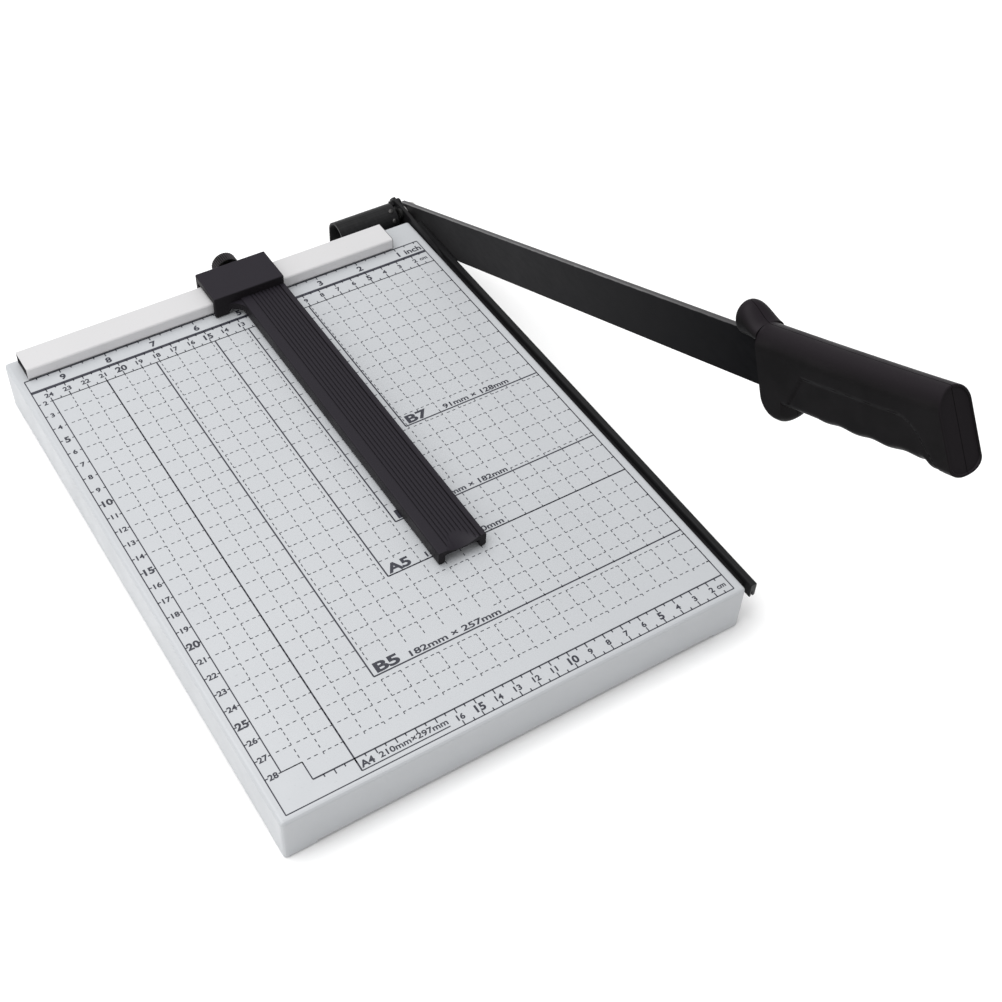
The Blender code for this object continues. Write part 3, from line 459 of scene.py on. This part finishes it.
class Print:
    """Thin bars of ink, gathered into one mesh."""

    def __init__(self):
        self.points, self.faces = [], []

    def bar(self, first, last, width):
        """A bar between two printed points, parallel to a side of the table."""
        (x0, y0), (x1, y1) = place(*first), place(*last)
        half = width / 2
        if abs(x1 - x0) > abs(y1 - y0):
            low, high = (min(x0, x1), y0 - half), (max(x0, x1), y0 + half)
        else:
            low, high = (x0 - half, min(y0, y1)), (x0 + half, max(y0, y1))
        start = len(self.points)
        for z in (TOP + INK_LOW, TOP + INK_HIGH):
            corners = ((low[0], low[1]), (high[0], low[1]), (high[0], high[1]), (low[0], high[1]))
            self.points += [(x, y, z) for x, y in corners]
        sides = [(0, 3, 2, 1), (4, 5, 6, 7)] + [(n, (n + 1) % 4, 4 + (n + 1) % 4, 4 + n) for n in range(4)]
        self.faces += [tuple(start + corner for corner in side) for side in sides]

    def piece(self, name, material):
        mesh = bpy.data.meshes.new(name)
        mesh.from_pydata(self.points, [], self.faces)
        new_piece(name, mesh, "base", material)


def label(text, u, v, height, weight, align="CENTER", length=None):
    """A line of generic lettering: its middle is at v, its capitals are height centimetres tall.

    The letters are a little wider than the font's. A length in centimetres stretches the line to it.
    """
    curve = bpy.data.curves.new("label", "FONT")
    curve.body = text
    curve.size = height * CM / CAPITAL
    curve.align_x = align
    curve.align_y = "TOP_BASELINE"
    curve.offset = weight * height * CM
    curve.extrude = (INK_HIGH - INK_LOW) / 2
    curve.resolution_u = 4
    guide = bpy.data.objects.new("label", curve)
    x, y = place(u, v)
    guide.location = (x, y - height * CM / 2, TOP + (INK_LOW + INK_HIGH) / 2)
    guide.scale.x = LETTER_WIDTH
    bpy.context.scene.collection.objects.link(guide)
    bpy.context.view_layer.update()
    if length:
        guide.scale.x *= length * CM / guide.dimensions.x
        bpy.context.view_layer.update()
    mesh = bpy.data.meshes.new_from_object(guide.evaluated_get(bpy.context.evaluated_depsgraph_get()))
    mesh.transform(guide.matrix_world)
    bpy.data.objects.remove(guide, do_unlink=True)
    return mesh


def join(name, meshes, material):
    shape = bmesh.new()
    for mesh in meshes:
        shape.from_mesh(mesh)
        bpy.data.meshes.remove(mesh)
    bmesh.ops.remove_doubles(shape, verts=shape.verts, dist=1e-6)
    new_piece(name, mesh_of(name, shape), "base", material)


# Paper sizes: the corner, the size in words, how far right of the corner it starts, and its length.
SHEETS = {
    "B5": (18.2, 25.7, "182mm × 257mm", 1.9, 4.85),
    "A5": (14.8, 21.0, "148mm × 210mm", 2.1, 4.4),
    "B6": (12.8, 18.2, "128mm × 182mm", 2.4, 4.1),
    "B7": (9.1, 12.8, "91mm × 128mm", 2.4, 4.0),
}


def print_frame(ink):
    lines = Print()
    lines.bar((LEFT_BORDER, 0), (RIGHT_BORDER, 0), MIDDLE)
    lines.bar((LEFT_BORDER, 0), (LEFT_BORDER, BOTTOM_BORDER), THIN)
    lines.bar((RIGHT_BORDER, 0), (RIGHT_BORDER, BOTTOM_BORDER), THIN)
    lines.bar((LEFT_BORDER, BOTTOM_BORDER), (RIGHT_BORDER, BOTTOM_BORDER), THIN)
    lines.bar((LEFT_BORDER, 1), (RIGHT_BORDER, 1), THICK)
    lines.bar((24, 2), (RIGHT_BORDER, 2), THIN)
    lines.bar((24, 2), (24, 28), THIN)
    lines.bar((21, 2), (21, 29.7), MIDDLE)
    lines.bar((21, 29.7), (16.6, 29.7), THIN)
    lines.bar((24, 28), (23, 28), THIN)
    lines.bar((23, 28), (23, 29), THIN)
    lines.bar((23, 29), (RIGHT_BORDER, 29), MIDDLE)
    for u, v, *_ in SHEETS.values():
        lines.bar((u, 2), (u, v), MIDDLE)
        lines.bar((u, v), (RIGHT_BORDER, v), MIDDLE)
    lines.piece("table_lines", ink)


def print_ticks(ink):
    ticks = Print()
    quarter = INCH / 4
    for number in range(2, 39):
        long = 0.22 if number % 4 == 0 else 0.14
        ticks.bar((number * quarter, 0), (number * quarter, long), THIN)
    for half in range(3, 49):
        long = 0.26 if half % 2 == 0 else 0.15
        ticks.bar((half / 2, 1), (half / 2, 1 + long), THIN)
        ticks.bar((half / 2, 2 - long), (half / 2, 2), THIN)
    for half in range(3, 46):
        long = 0.26 if half % 2 == 0 else 0.15
        ticks.bar((half / 2, 29), (half / 2, 29 + long), THIN)
        if half <= 32:
            ticks.bar((half / 2, BOTTOM_BORDER - long), (half / 2, BOTTOM_BORDER), THIN)
    for number in range(2, 29):
        ticks.bar((LEFT_BORDER, number), (LEFT_BORDER - 0.15, number), THIN)
        ticks.bar((24.12, number), (24, number), THIN)
        ticks.bar((RIGHT_BORDER + 0.15, number), (RIGHT_BORDER, number), THIN)
    ticks.piece("table_ticks", ink)


def is_clear(u, v):
    """Whether a printed point is free of the paper sizes' labels."""
    margin, tallest = 0.1, 0.72
    for left, line, _, start, length in SHEETS.values():
        on_name = left - NAME_LENGTH - 0.3 < u < left - margin
        on_size = left - start - length - margin < u < left - start + margin
        if line - tallest < v < line and (on_name or on_size):
            return False
    return True


def print_grid(ink):
    """Centimetre squares in dashes, with one small corner at each crossing."""
    dashes = Print()
    for u in range(1, 24):
        for v in range(2, 29):
            for middle in (1 / 3, 2 / 3):
                if v < 28 and is_clear(u, v + middle):
                    dashes.bar((u, v + middle - DASH_HALF), (u, v + middle + DASH_HALF), DASH)
                if is_clear(u + middle, v):
                    dashes.bar((u + middle - DASH_HALF, v), (u + middle + DASH_HALF, v), DASH)
            if not is_clear(u, v):
                continue
            across = CORNER_STROKE if u % 2 else -CORNER_STROKE
            down = -CORNER_STROKE if v % 2 else CORNER_STROKE
            dashes.bar((u, v), (u + across, v), DASH)
            dashes.bar((u, v), (u, v + down), DASH)
    dashes.piece("table_grid", ink)


def number_label(number, u, v):
    """A ruler's number: every fifth one is bigger and bolder."""
    height, weight = (0.40, 0.050) if number % 5 == 0 else (0.30, 0.042)
    return label(str(number), u, v, height, weight)


def print_numbers(ink):
    meshes = [label(str(number), number * INCH, 0.55, 0.40, 0.048) for number in range(1, 10)]
    meshes.append(label("inch", 1.62, 0.55, 0.42, 0.036))
    meshes += [number_label(number, number, 1.5) for number in range(2, 25)]
    meshes += [number_label(number, number, 29.5) for number in range(2, 17)]
    meshes += [number_label(number, 24.38, number) for number in range(2, 29)]
    meshes += [label("cm", 1.45, row, 0.27, 0.036) for row in (1.5, 29.5)]
    join("ruler_numbers", meshes, ink)


def print_sheet_labels(ink):
    meshes = []
    for name, (u, v, size, start, length) in SHEETS.items():
        name_row, size_row = v - ABOVE_LINE - NAME_HEIGHT / 2, v - ABOVE_LINE - SIZE_HEIGHT / 2
        meshes.append(label(name, u - 0.2, name_row, NAME_HEIGHT, 0.050, "LEFT", NAME_LENGTH))
        meshes.append(label(size, u - start, size_row, SIZE_HEIGHT, 0.034, "LEFT", length))
    meshes.append(label("A4", 20.9, 29.4, 0.36, 0.042, "LEFT"))
    meshes.append(label("210mm×297mm", 20.0, 29.4, 0.30, 0.03, "LEFT", 3.4))
    join("paper_size_labels", meshes, ink)


def make_print():
    ink = ink_material()
    print_frame(ink)
    print_ticks(ink)
    print_grid(ink)
    print_numbers(ink)
    print_sheet_labels(ink)


# ---- solid shapes, drawn in millimetres in the table's or the arm's own space

def arc(centre, radius, first, last, steps, height=None):
    """Points on an arc, from the first angle to the last, in degrees. A height makes it oval."""
    up = height or radius
    angles = [math.radians(first + (last - first) * step / steps) for step in range(steps + 1)]
    return [(centre[0] + radius * math.cos(a), centre[1] + up * math.sin(a)) for a in angles]


def settle(shape, space):
    """From millimetres in a space to metres in the scene."""
    bmesh.ops.recalc_face_normals(shape, faces=shape.faces)
    shape.transform(space @ Matrix.Diagonal((MM, MM, MM, 1.0)))
    return shape


def solid(shape, space):
    """A loose object for a Boolean."""
    piece = bpy.data.objects.new("solid", mesh_of("solid", settle(shape, space)))
    bpy.context.scene.collection.objects.link(piece)
    return piece


def box(low, high, space):
    low, high = Vector(low), Vector(high)
    shape = bmesh.new()
    bmesh.ops.create_cube(shape, size=1.0)
    bmesh.ops.scale(shape, vec=high - low, verts=shape.verts)
    bmesh.ops.translate(shape, vec=(low + high) / 2, verts=shape.verts)
    return solid(shape, space)


def rod(start, end, radius, space, segments=48):
    start, end = Vector(start), Vector(end)
    turn = (end - start).to_track_quat("Z", "Y").to_matrix().to_4x4()
    shape = bmesh.new()
    bmesh.ops.create_cone(
        shape, cap_ends=True, segments=segments, radius1=radius, radius2=radius,
        depth=(end - start).length, matrix=Matrix.Translation((start + end) / 2) @ turn,
    )
    return solid(shape, space)


PRISM_AXES = {
    "X": lambda across, up, along: (along, across, up),
    "Y": lambda across, up, along: (across, along, up),
    "Z": lambda across, up, along: (across, up, along),
}


def prism(outline, axis, low, high, space):
    """A flat outline drawn along an axis."""
    spot = PRISM_AXES[axis]
    shape = bmesh.new()
    ends = [[shape.verts.new(spot(*point, along)) for point in outline] for along in (low, high)]
    skin(shape, ends)
    return solid(shape, space)


def skin(shape, rings):
    """Faces between each ring and the next, and a cap on each end."""
    for ring, following in zip(rings, rings[1:]):
        for number in range(len(ring)):
            after = (number + 1) % len(ring)
            shape.faces.new((ring[number], ring[after], following[after], following[number]))
    shape.faces.new(rings[0])
    shape.faces.new(rings[-1])


def carve(piece, steps):
    """A mesh of the piece after Booleans, each given as an operation and a loose object."""
    for operation, other in steps:
        change = piece.modifiers.new("Carve", "BOOLEAN")
        change.operation = operation
        change.object = other
    bpy.context.view_layer.update()
    graph = bpy.context.evaluated_depsgraph_get()
    mesh = bpy.data.meshes.new_from_object(piece.evaluated_get(graph))
    for used in [piece] + [other for _, other in steps]:
        bpy.data.objects.remove(used, do_unlink=True)
    return mesh


# ---- the handle

BLADE_TOP = 6.3 * MM
HANDLE_MIDDLE, HANDLE_HALF_WIDTH, END_HALF_WIDTH = 4.5, 8.8, 8.4
HANDLE_START, GUARD_START, HANDLE_END = 322.5, 336.5, 443.9
NUB_HEIGHT, NUB_RADIUS, NUB_ROUND = 11.5, 7.8, 2.0
NUB_FALL_START, NUB_FALL_END = 325.5, 338.0
LOBE_BOTTOM, LOBE_END = -31.0, 349.5
LOBE_FRONT_ROUND, LOBE_REAR_ROUND = 7.0, 4.0
GRIP_BOTTOM, GRIP_RISE, UNDER_ROUND = -22.6, 2.0, 5.0
HEEL_START, HEEL_END, HEEL_BOTTOM = 430.5, 434.5, -23.0
WAVE_START, WAVE_END, WAVE_PITCH, WAVE_DEPTH = 371.0, 429.0, 18.0, 0.4
END_SLANT = 0.183
TOP_LINE, TOP_BOW = 11.3, 1.3
HANDLE_SCREWS, HANDLE_SCREW_HEIGHT, HANDLE_SCREW_SEAT = (372.0, 408.0), -3.0, 10.5
BLADE_SLOT = (1.5, -342.3, -19.0), (5.1, -300.0, 6.6)
TANG_SLOT = (1.5, -425.3, -11.3), (5.1, -337.0, 5.3)
PANEL_START, PANEL_END, PANEL_BOTTOM = 365.0, 426.5, -3.1
PANEL_DEPTH, PANEL_ROUND, PANEL_LINE = 0.55, 6.0, 0.30


def share(value, start, end):
    """How far a value is from start to end, from 0 to 1."""
    return min(max((value - start) / (end - start), 0.0), 1.0)


def ease(part):
    return 3 * part**2 - 2 * part**3


def handle_top(along):
    line = TOP_LINE + TOP_BOW * ((along - 340.0) / 100.0) ** 2
    nub = NUB_HEIGHT + NUB_RADIUS
    return nub + (line - nub) * ease(share(along, NUB_FALL_START, NUB_FALL_END))


def handle_bottom(along):
    """The guard's rounded lobe, then the grip's shallow waves, then the heel."""
    if along <= LOBE_END:
        ahead = max(GUARD_START + LOBE_FRONT_ROUND - along, 0.0)
        behind = max(along - LOBE_END + LOBE_REAR_ROUND, 0.0)
        front = LOBE_FRONT_ROUND - math.sqrt(max(LOBE_FRONT_ROUND**2 - ahead**2, 0.0))
        rear = LOBE_REAR_ROUND - math.sqrt(LOBE_REAR_ROUND**2 - behind**2)
        return LOBE_BOTTOM + front + rear
    grip = GRIP_BOTTOM + GRIP_RISE * share(along, 360.0, HEEL_START) ** 2
    if WAVE_START < along < WAVE_END:
        grip += WAVE_DEPTH * math.sin(math.tau * (along - 380.0) / WAVE_PITCH)
    return grip + (HEEL_BOTTOM - grip) * ease(share(along, HEEL_START, HEEL_END))


def handle_outline(along):
    """The section at a distance from the pivot: a round top, flat sides and a flatter round underside."""
    top = handle_top(along)
    if along < GUARD_START:
        ahead = max(HANDLE_START + NUB_ROUND - along, 0.0)
        pinch = NUB_ROUND - math.sqrt(max(NUB_ROUND**2 - ahead**2, 0.0))
        top, bottom = top - pinch, NUB_HEIGHT - NUB_RADIUS + pinch
        half_width = NUB_RADIUS - pinch
        crown = under = (top - bottom) / 2 - 0.05
    else:
        bottom = handle_bottom(along)
        narrowing = (HANDLE_HALF_WIDTH - END_HALF_WIDTH) * share(along, 400.0, HANDLE_END)
        half_width = HANDLE_HALF_WIDTH - narrowing
        crown, under = half_width, UNDER_ROUND
    corner = 0.5  # half of the flat strip along the underside
    high, low = top - crown, bottom + under
    flat = 40
    side = [low + (high - low) * step / flat for step in range(1, flat)]
    return (
        arc((0, high), half_width, 0, 180, 40, crown)
        + [(-half_width, up) for up in reversed(side)]
        + arc((-corner, low), half_width - corner, 180, 270, 12, under)
        + arc((corner, low), half_width - corner, 270, 360, 12, under)
        + [(half_width, up) for up in side]
    )


def panel_depth(along, up):
    """How deep the grip's sunk panel is, less the fine raised line round it.

    The distances run inwards from the panel's sloping lower, rear and front sides.
    """
    edges = (
        PANEL_BOTTOM + 1.1 * (along - PANEL_START) / (PANEL_END - PANEL_START) - up,
        0.84 * (PANEL_END - 0.64 * (up + 2.0) - along),
    )
    front = 0.81 * (along - PANEL_START - 0.714 * (up - PANEL_BOTTOM))
    shortfalls = [max(PANEL_ROUND - edge, 0.0) for edge in edges]
    depth_in = min(PANEL_ROUND - math.hypot(*shortfalls), front)
    line = PANEL_LINE * math.exp(-(((depth_in + 0.1) / 0.35) ** 2))
    return PANEL_DEPTH * ease(share(depth_in, 0.0, 0.8)) - line


def handle_stations():
    nub = [HANDLE_START + NUB_ROUND * (1 - math.cos(math.radians(turn))) for turn in range(0, 91, 15)]
    step = 0.55
    fall = [HANDLE_START + NUB_ROUND + step * n for n in range(1, 21)]
    rounds = [LOBE_FRONT_ROUND * (1 - math.cos(math.radians(turn))) for turn in range(0, 91, 9)]
    lobe = [GUARD_START - 0.01] + [GUARD_START + part for part in rounds]
    curl = [LOBE_REAR_ROUND * math.sin(math.radians(turn)) for turn in range(0, 91, 10)]
    lobe += [LOBE_END - LOBE_REAR_ROUND + part for part in curl]
    start = LOBE_END + 0.5
    count = round((HANDLE_END - start - 1) / step)
    return nub + fall + lobe + [start + step * n for n in range(count)] + [HANDLE_END - 0.4, HANDLE_END]


def handle_ring(along, inset=0.0, sunk=0.0):
    """One section's points in the arm's space. An inset shrinks it and sunk pushes it forward."""
    outline = handle_outline(along)
    low, high = min(up for _, up in outline), max(up for _, up in outline)
    middle, half = (low + high) / 2, (high - low) / 2
    slant = END_SLANT * share(along, 425.0, HANDLE_END)
    ring = []
    for across, up in outline:
        if along > LOBE_END:
            across -= math.copysign(panel_depth(along, up) * min(abs(across) / 6.0, 1.0) ** 2, across)
        across *= 1 - inset / END_HALF_WIDTH
        up = middle + (up - middle) * (1 - inset / half)
        ring.append((HANDLE_MIDDLE + across, sunk - along + slant * (up + 5.0), up))
    return ring


def handle_body():
    shape = bmesh.new()
    rings = [handle_ring(along) for along in handle_stations()[:-1]]
    rings += [handle_ring(HANDLE_END, inset) for inset in (0.35, 1.0)] + [handle_ring(HANDLE_END, 1.3, 0.5)]
    skin(shape, [[shape.verts.new(point) for point in ring] for ring in rings])
    return solid(shape, ARM_SPACE)


def make_handle(material):
    reach, seam = 40.0, 0.12
    bore, counterbore = 1.8, 3.4
    for side, left, right in (
        ("left", HANDLE_MIDDLE - reach, HANDLE_MIDDLE - seam),
        ("right", HANDLE_MIDDLE + seam, HANDLE_MIDDLE + reach),
    ):
        steps = [
            ("INTERSECT", box((left, -480, -60), (right, -290, 60), ARM_SPACE)),
            ("DIFFERENCE", box(*BLADE_SLOT, ARM_SPACE)),
            ("DIFFERENCE", box(*TANG_SLOT, ARM_SPACE)),
        ]
        for along in HANDLE_SCREWS:
            start = (-1.2, -along, HANDLE_SCREW_HEIGHT)
            seat, end = (HANDLE_SCREW_SEAT, *start[1:]), (20.0, *start[1:])
            steps.append(("DIFFERENCE", rod(start, end, bore, ARM_SPACE)))
            if side == "right":
                steps.append(("DIFFERENCE", rod(seat, end, counterbore, ARM_SPACE)))
        mesh = carve(handle_body(), steps)
        node = f"handle_{side}_shell"
        shell = new_piece(f"grip_{side}", mesh, "blade_arm", material, (node,))
        shade(shell)


# ---- the side gauge and its knob

GAUGE_LEFT, GAUGE_RIGHT = -139.7, -97.5
HEAD_FRONT, HEAD_BACK, HEAD_TOP, HEAD_ROOF, HEAD_SKIRT = -4.5, 20.3, 13.7, 9.2, 3.0
ARM_LEFT, ARM_FRONT, ARM_TOP, ARM_WALL, ARM_ROOF = -124.2, -216.5, 8.5, 3.6, 3.0
ARCH_LEFT, ARCH_TOP = -132.0, 3.6
FOOT = 0.3  # the gap under the gauge
GROOVES, GROOVES_LEFT, GROOVES_RIGHT = 9, -118.3, -101.0
SCOOP_WIDTH, SCOOP_DEPTH, SCOOP_LENGTH = 18.0, 2.4, 10.5
STUD_X, STUD_Z, KNOB_FRONT, KNOB_BACK, KNOB_RADIUS = -118.5, 5.9, 24.0, 31.0, 7.3
KNURLS, KNURL_DEPTH, KNURL_POINTS = 36, 0.6, 6


def gauge_head():
    """The block that rides on the rail, open underneath, with an arch in its front skirt."""
    outline = (
        [(HEAD_FRONT, FOOT), (HEAD_FRONT, HEAD_TOP), (HEAD_BACK, HEAD_TOP), (HEAD_BACK, FOOT)]
        + [(HEAD_BACK - HEAD_SKIRT, FOOT), (HEAD_BACK - HEAD_SKIRT, HEAD_ROOF)]
        + [(HEAD_FRONT + HEAD_SKIRT, HEAD_ROOF), (HEAD_FRONT + HEAD_SKIRT, FOOT)]
    )
    head = prism(outline, "X", GAUGE_LEFT, GAUGE_RIGHT, TABLE_SPACE)
    edge = head.modifiers.new("Edges", "BEVEL")
    edge.width, edge.segments, edge.limit_method = 0.8 * MM, 4, "ANGLE"
    return head


def gauge_arm():
    """The grooved arm, a channel with rounded lips."""
    pitch = (GROOVES_RIGHT - GROOVES_LEFT) / (GROOVES - 1)
    top = []
    for number in range(GROOVES):
        middle = GROOVES_LEFT + pitch * number
        depth, half = (0.85, 0.5) if number == GROOVES - 1 else (0.5, 0.42)
        top += [(middle - half, ARM_TOP), (middle - half * 0.5, ARM_TOP - depth)]
        top += [(middle + half * 0.5, ARM_TOP - depth), (middle + half, ARM_TOP)]
    roof, soft = ARM_TOP - ARM_ROOF, 0.8
    lip = ARM_WALL / 2
    outline = (
        arc((ARM_LEFT + soft, ARM_TOP - soft), soft, 180, 90, 4) + top
        + arc((GAUGE_RIGHT - soft, ARM_TOP - soft), soft, 90, 0, 4)
        + arc((GAUGE_RIGHT - lip, FOOT + 1.2), lip, 0, -180, 10, 1.2)
        + arc((GAUGE_RIGHT - ARM_WALL - soft, roof - soft), soft, 0, 90, 4)
        + arc((ARM_LEFT + ARM_WALL + soft, roof - soft), soft, 90, 180, 4)
        + arc((ARM_LEFT + lip, FOOT + 1.2), lip, 0, -180, 10, 1.2)
    )
    return prism(outline, "Y", ARM_FRONT, HEAD_FRONT + 1.5, TABLE_SPACE)


def make_gauge(material):
    radius = 9.0
    corner = (ARM_LEFT - radius, HEAD_FRONT - radius)
    gusset = (
        arc(corner, radius, 0, 90, 24)
        + [(ARM_LEFT - radius, HEAD_FRONT + 1.5), (ARM_LEFT + 2, HEAD_FRONT + 1.5)]
        + [(ARM_LEFT + 2, corner[1])]
    )
    arch = (
        [(ARCH_LEFT, -1.0), (ARCH_LEFT, FOOT)]
        + arc((ARCH_LEFT + ARCH_TOP - FOOT, FOOT), ARCH_TOP - FOOT, 180, 90, 10)[1:]
        + [(ARM_LEFT, ARCH_TOP), (ARM_LEFT, -1.0)]
    )
    scoop_radius = ((SCOOP_WIDTH / 2) ** 2 + SCOOP_DEPTH**2) / (2 * SCOOP_DEPTH)
    slant = math.atan2(SCOOP_DEPTH, SCOOP_LENGTH)
    direction = Vector((0, math.cos(slant), math.sin(slant)))
    crest = Vector((
        (ARM_LEFT + GAUGE_RIGHT) / 2, ARM_FRONT + SCOOP_LENGTH, ARM_TOP + scoop_radius / math.cos(slant),
    ))
    scoop = crest - direction * 60, crest + direction * 25
    stud = (STUD_X, HEAD_BACK - 6, STUD_Z), (STUD_X, HEAD_BACK + 3, STUD_Z)
    mesh = carve(gauge_head(), [
        ("DIFFERENCE", prism(arch, "Y", HEAD_FRONT - 1, HEAD_FRONT + HEAD_SKIRT + 1, TABLE_SPACE)),
        ("UNION", gauge_arm()),
        ("UNION", prism(gusset, "Z", ARCH_TOP, ARM_TOP - 0.9, TABLE_SPACE)),
        ("DIFFERENCE", rod(*scoop, scoop_radius, TABLE_SPACE, 160)),
        ("DIFFERENCE", rod(*stud, 3.7, TABLE_SPACE)),
    ])
    gauge = new_piece("gauge_moulding", mesh, "gauge", material, ("side_gauge",))
    shade(gauge, 0.18 * MM)


def make_knob(material):
    """A knurled thumb knob: a bore, a sunk front face, a rim, the knurled barrel and a domed back."""
    bore, floor, depth = 2.3, KNOB_FRONT + 1.4, KNOB_BACK - 1.2
    profile = (
        (bore, depth, 0), (bore, floor, 0), (5.2, floor, 0), (5.6, floor - 0.3, 0),
        (5.9, KNOB_FRONT + 0.3, 0), (6.1, KNOB_FRONT, 0), (6.7, KNOB_FRONT, 0),
        (7.0, KNOB_FRONT + 0.2, 0.3),
        (KNOB_RADIUS, KNOB_FRONT + 0.8, 1), (KNOB_RADIUS, KNOB_BACK - 0.9, 1),
        (7.0, KNOB_BACK - 0.4, 0.3), (6.6, KNOB_BACK - 0.1, 0), (3.0, KNOB_BACK, 0),
    )
    around = KNURLS * KNURL_POINTS
    shape = bmesh.new()
    rings = []
    for radius, along, knurl in profile:
        ring = []
        for step in range(around):
            angle = math.tau * step / around
            reach = radius - KNURL_DEPTH * knurl * (0.5 - 0.5 * math.cos(KNURLS * angle)) ** 0.7
            ring.append(shape.verts.new((
                STUD_X + reach * math.cos(angle), along, STUD_Z + reach * math.sin(angle),
            )))
        rings.append(ring)
    skin(shape, rings)
    mesh = mesh_of("knob", settle(shape, TABLE_SPACE))
    shade(new_piece("knurled_knob", mesh, "clamp_knob", material, ("thumb_knob",)))


# ---- the run

SMOOTH = smooth_group()
make_camera()
make_studio()

# Painted shade: the table under the rail, the inside of the rail's channel and a strip on its sheared end
# are darkened, standing in for the shade and shadow there.
SHADE_UNDER_RAIL = (
    Vector((RAIL_LOW.x, RAIL_LOW.y + 0.6 * MM, TOP - 1 * MM)),
    Vector((RAIL_HIGH.x, RAIL_HIGH.y - 0.6 * MM, TOP + 1 * MM)),
)
CHANNEL_SHADE = (
    RAIL_LOW + Vector((-1, 0.6, -1)) * MM,
    RAIL_HIGH + Vector((1, -0.6, -0.6)) * MM,
)
RAIL_END_SHADE = (
    RAIL_HIGH - Vector((0.45, 50, 50)) * MM,
    RAIL_HIGH + Vector((1, 1, 1)) * MM,
)
PALE = painted("pale_paint", (0.424, 0.437, 0.454), (0.412, 0.425, 0.442), upright_light=0.96, shade_boxes=[SHADE_UNDER_RAIL])
RAIL = painted(
    "rail_paint", (0.505, 0.500, 0.507), (0.49, 0.486, 0.492), roughness=0.5, coat=0.0, upright_light=1.32,
    shade_boxes=[CHANNEL_SHADE, RAIL_END_SHADE],
)
STEEL = metal("bare_steel", (0.62, 0.61, 0.60), (0.45, 0.44, 0.42), 0.32)
DARK_STEEL = metal("blackened_steel", (0.10, 0.098, 0.096), (0.035, 0.034, 0.034), 0.42)
BRASS = metal("brass", (0.70, 0.50, 0.20), (0.50, 0.35, 0.13), 0.3)
BLACK = black_paint("black_paint", (0.0065, 0.0065, 0.007), 0.40)
CAST = black_paint("cast_paint", (0.008, 0.008, 0.008), 0.55)
BLADE = blade_paint()
GAUGE = moulded(
    "gauge_plastic", (0.009, 0.0078, 0.0095), (0.012, 0.0105, 0.0125), (0.015, 0.013, 0.0175),
    roughness=0.48, specular=0.12,
)
GRIP = moulded(
    "handle_plastic", (0.002, 0.0016, 0.0018), (0.0045, 0.0038, 0.0042), (0.0125, 0.01, 0.0125),
    roughness=0.42, specular=0.07,
)
STUD = TABLE_SPACE @ (Vector((STUD_X, 0, STUD_Z)) * MM)
KNOB = knurled("knob_plastic", STUD, (KNOB_RADIUS - KNURL_DEPTH) * MM, KNOB_RADIUS * MM)
RUBBER = rubber_material()
make_print()
make_handle(GRIP)
make_gauge(GAUGE)
make_knob(KNOB)

FINISHES = {
    "base_pan": PALE, "fence_rail": RAIL, "bed_knife": BLACK, "hinge_cover": BLACK, "stop_bolt": BLACK,
    "stop_nut": BLACK, "hinge_bracket": CAST, "upper_blade": BLADE, "side_gauge": GAUGE,
    "thumb_knob": GAUGE, "handle_left_shell": GRIP, "handle_right_shell": GRIP, "threaded_insert": BRASS,
    "cover_rivet_upper": DARK_STEEL, "cover_rivet_lower": DARK_STEEL, "ear_rivet": DARK_STEEL,
}
BEVELS = {"bed_knife": 0.12, "hinge_cover": 0.15, "upper_blade": 0.2, "stop_bolt": 0.2, "stop_nut": 0.15}
for node in frame["nodes"]:
    finish = FINISHES.get(node) or (RUBBER if "foot" in node else STEEL)
    dress(node, finish, BEVELS.get(node, 0.0) * MM)
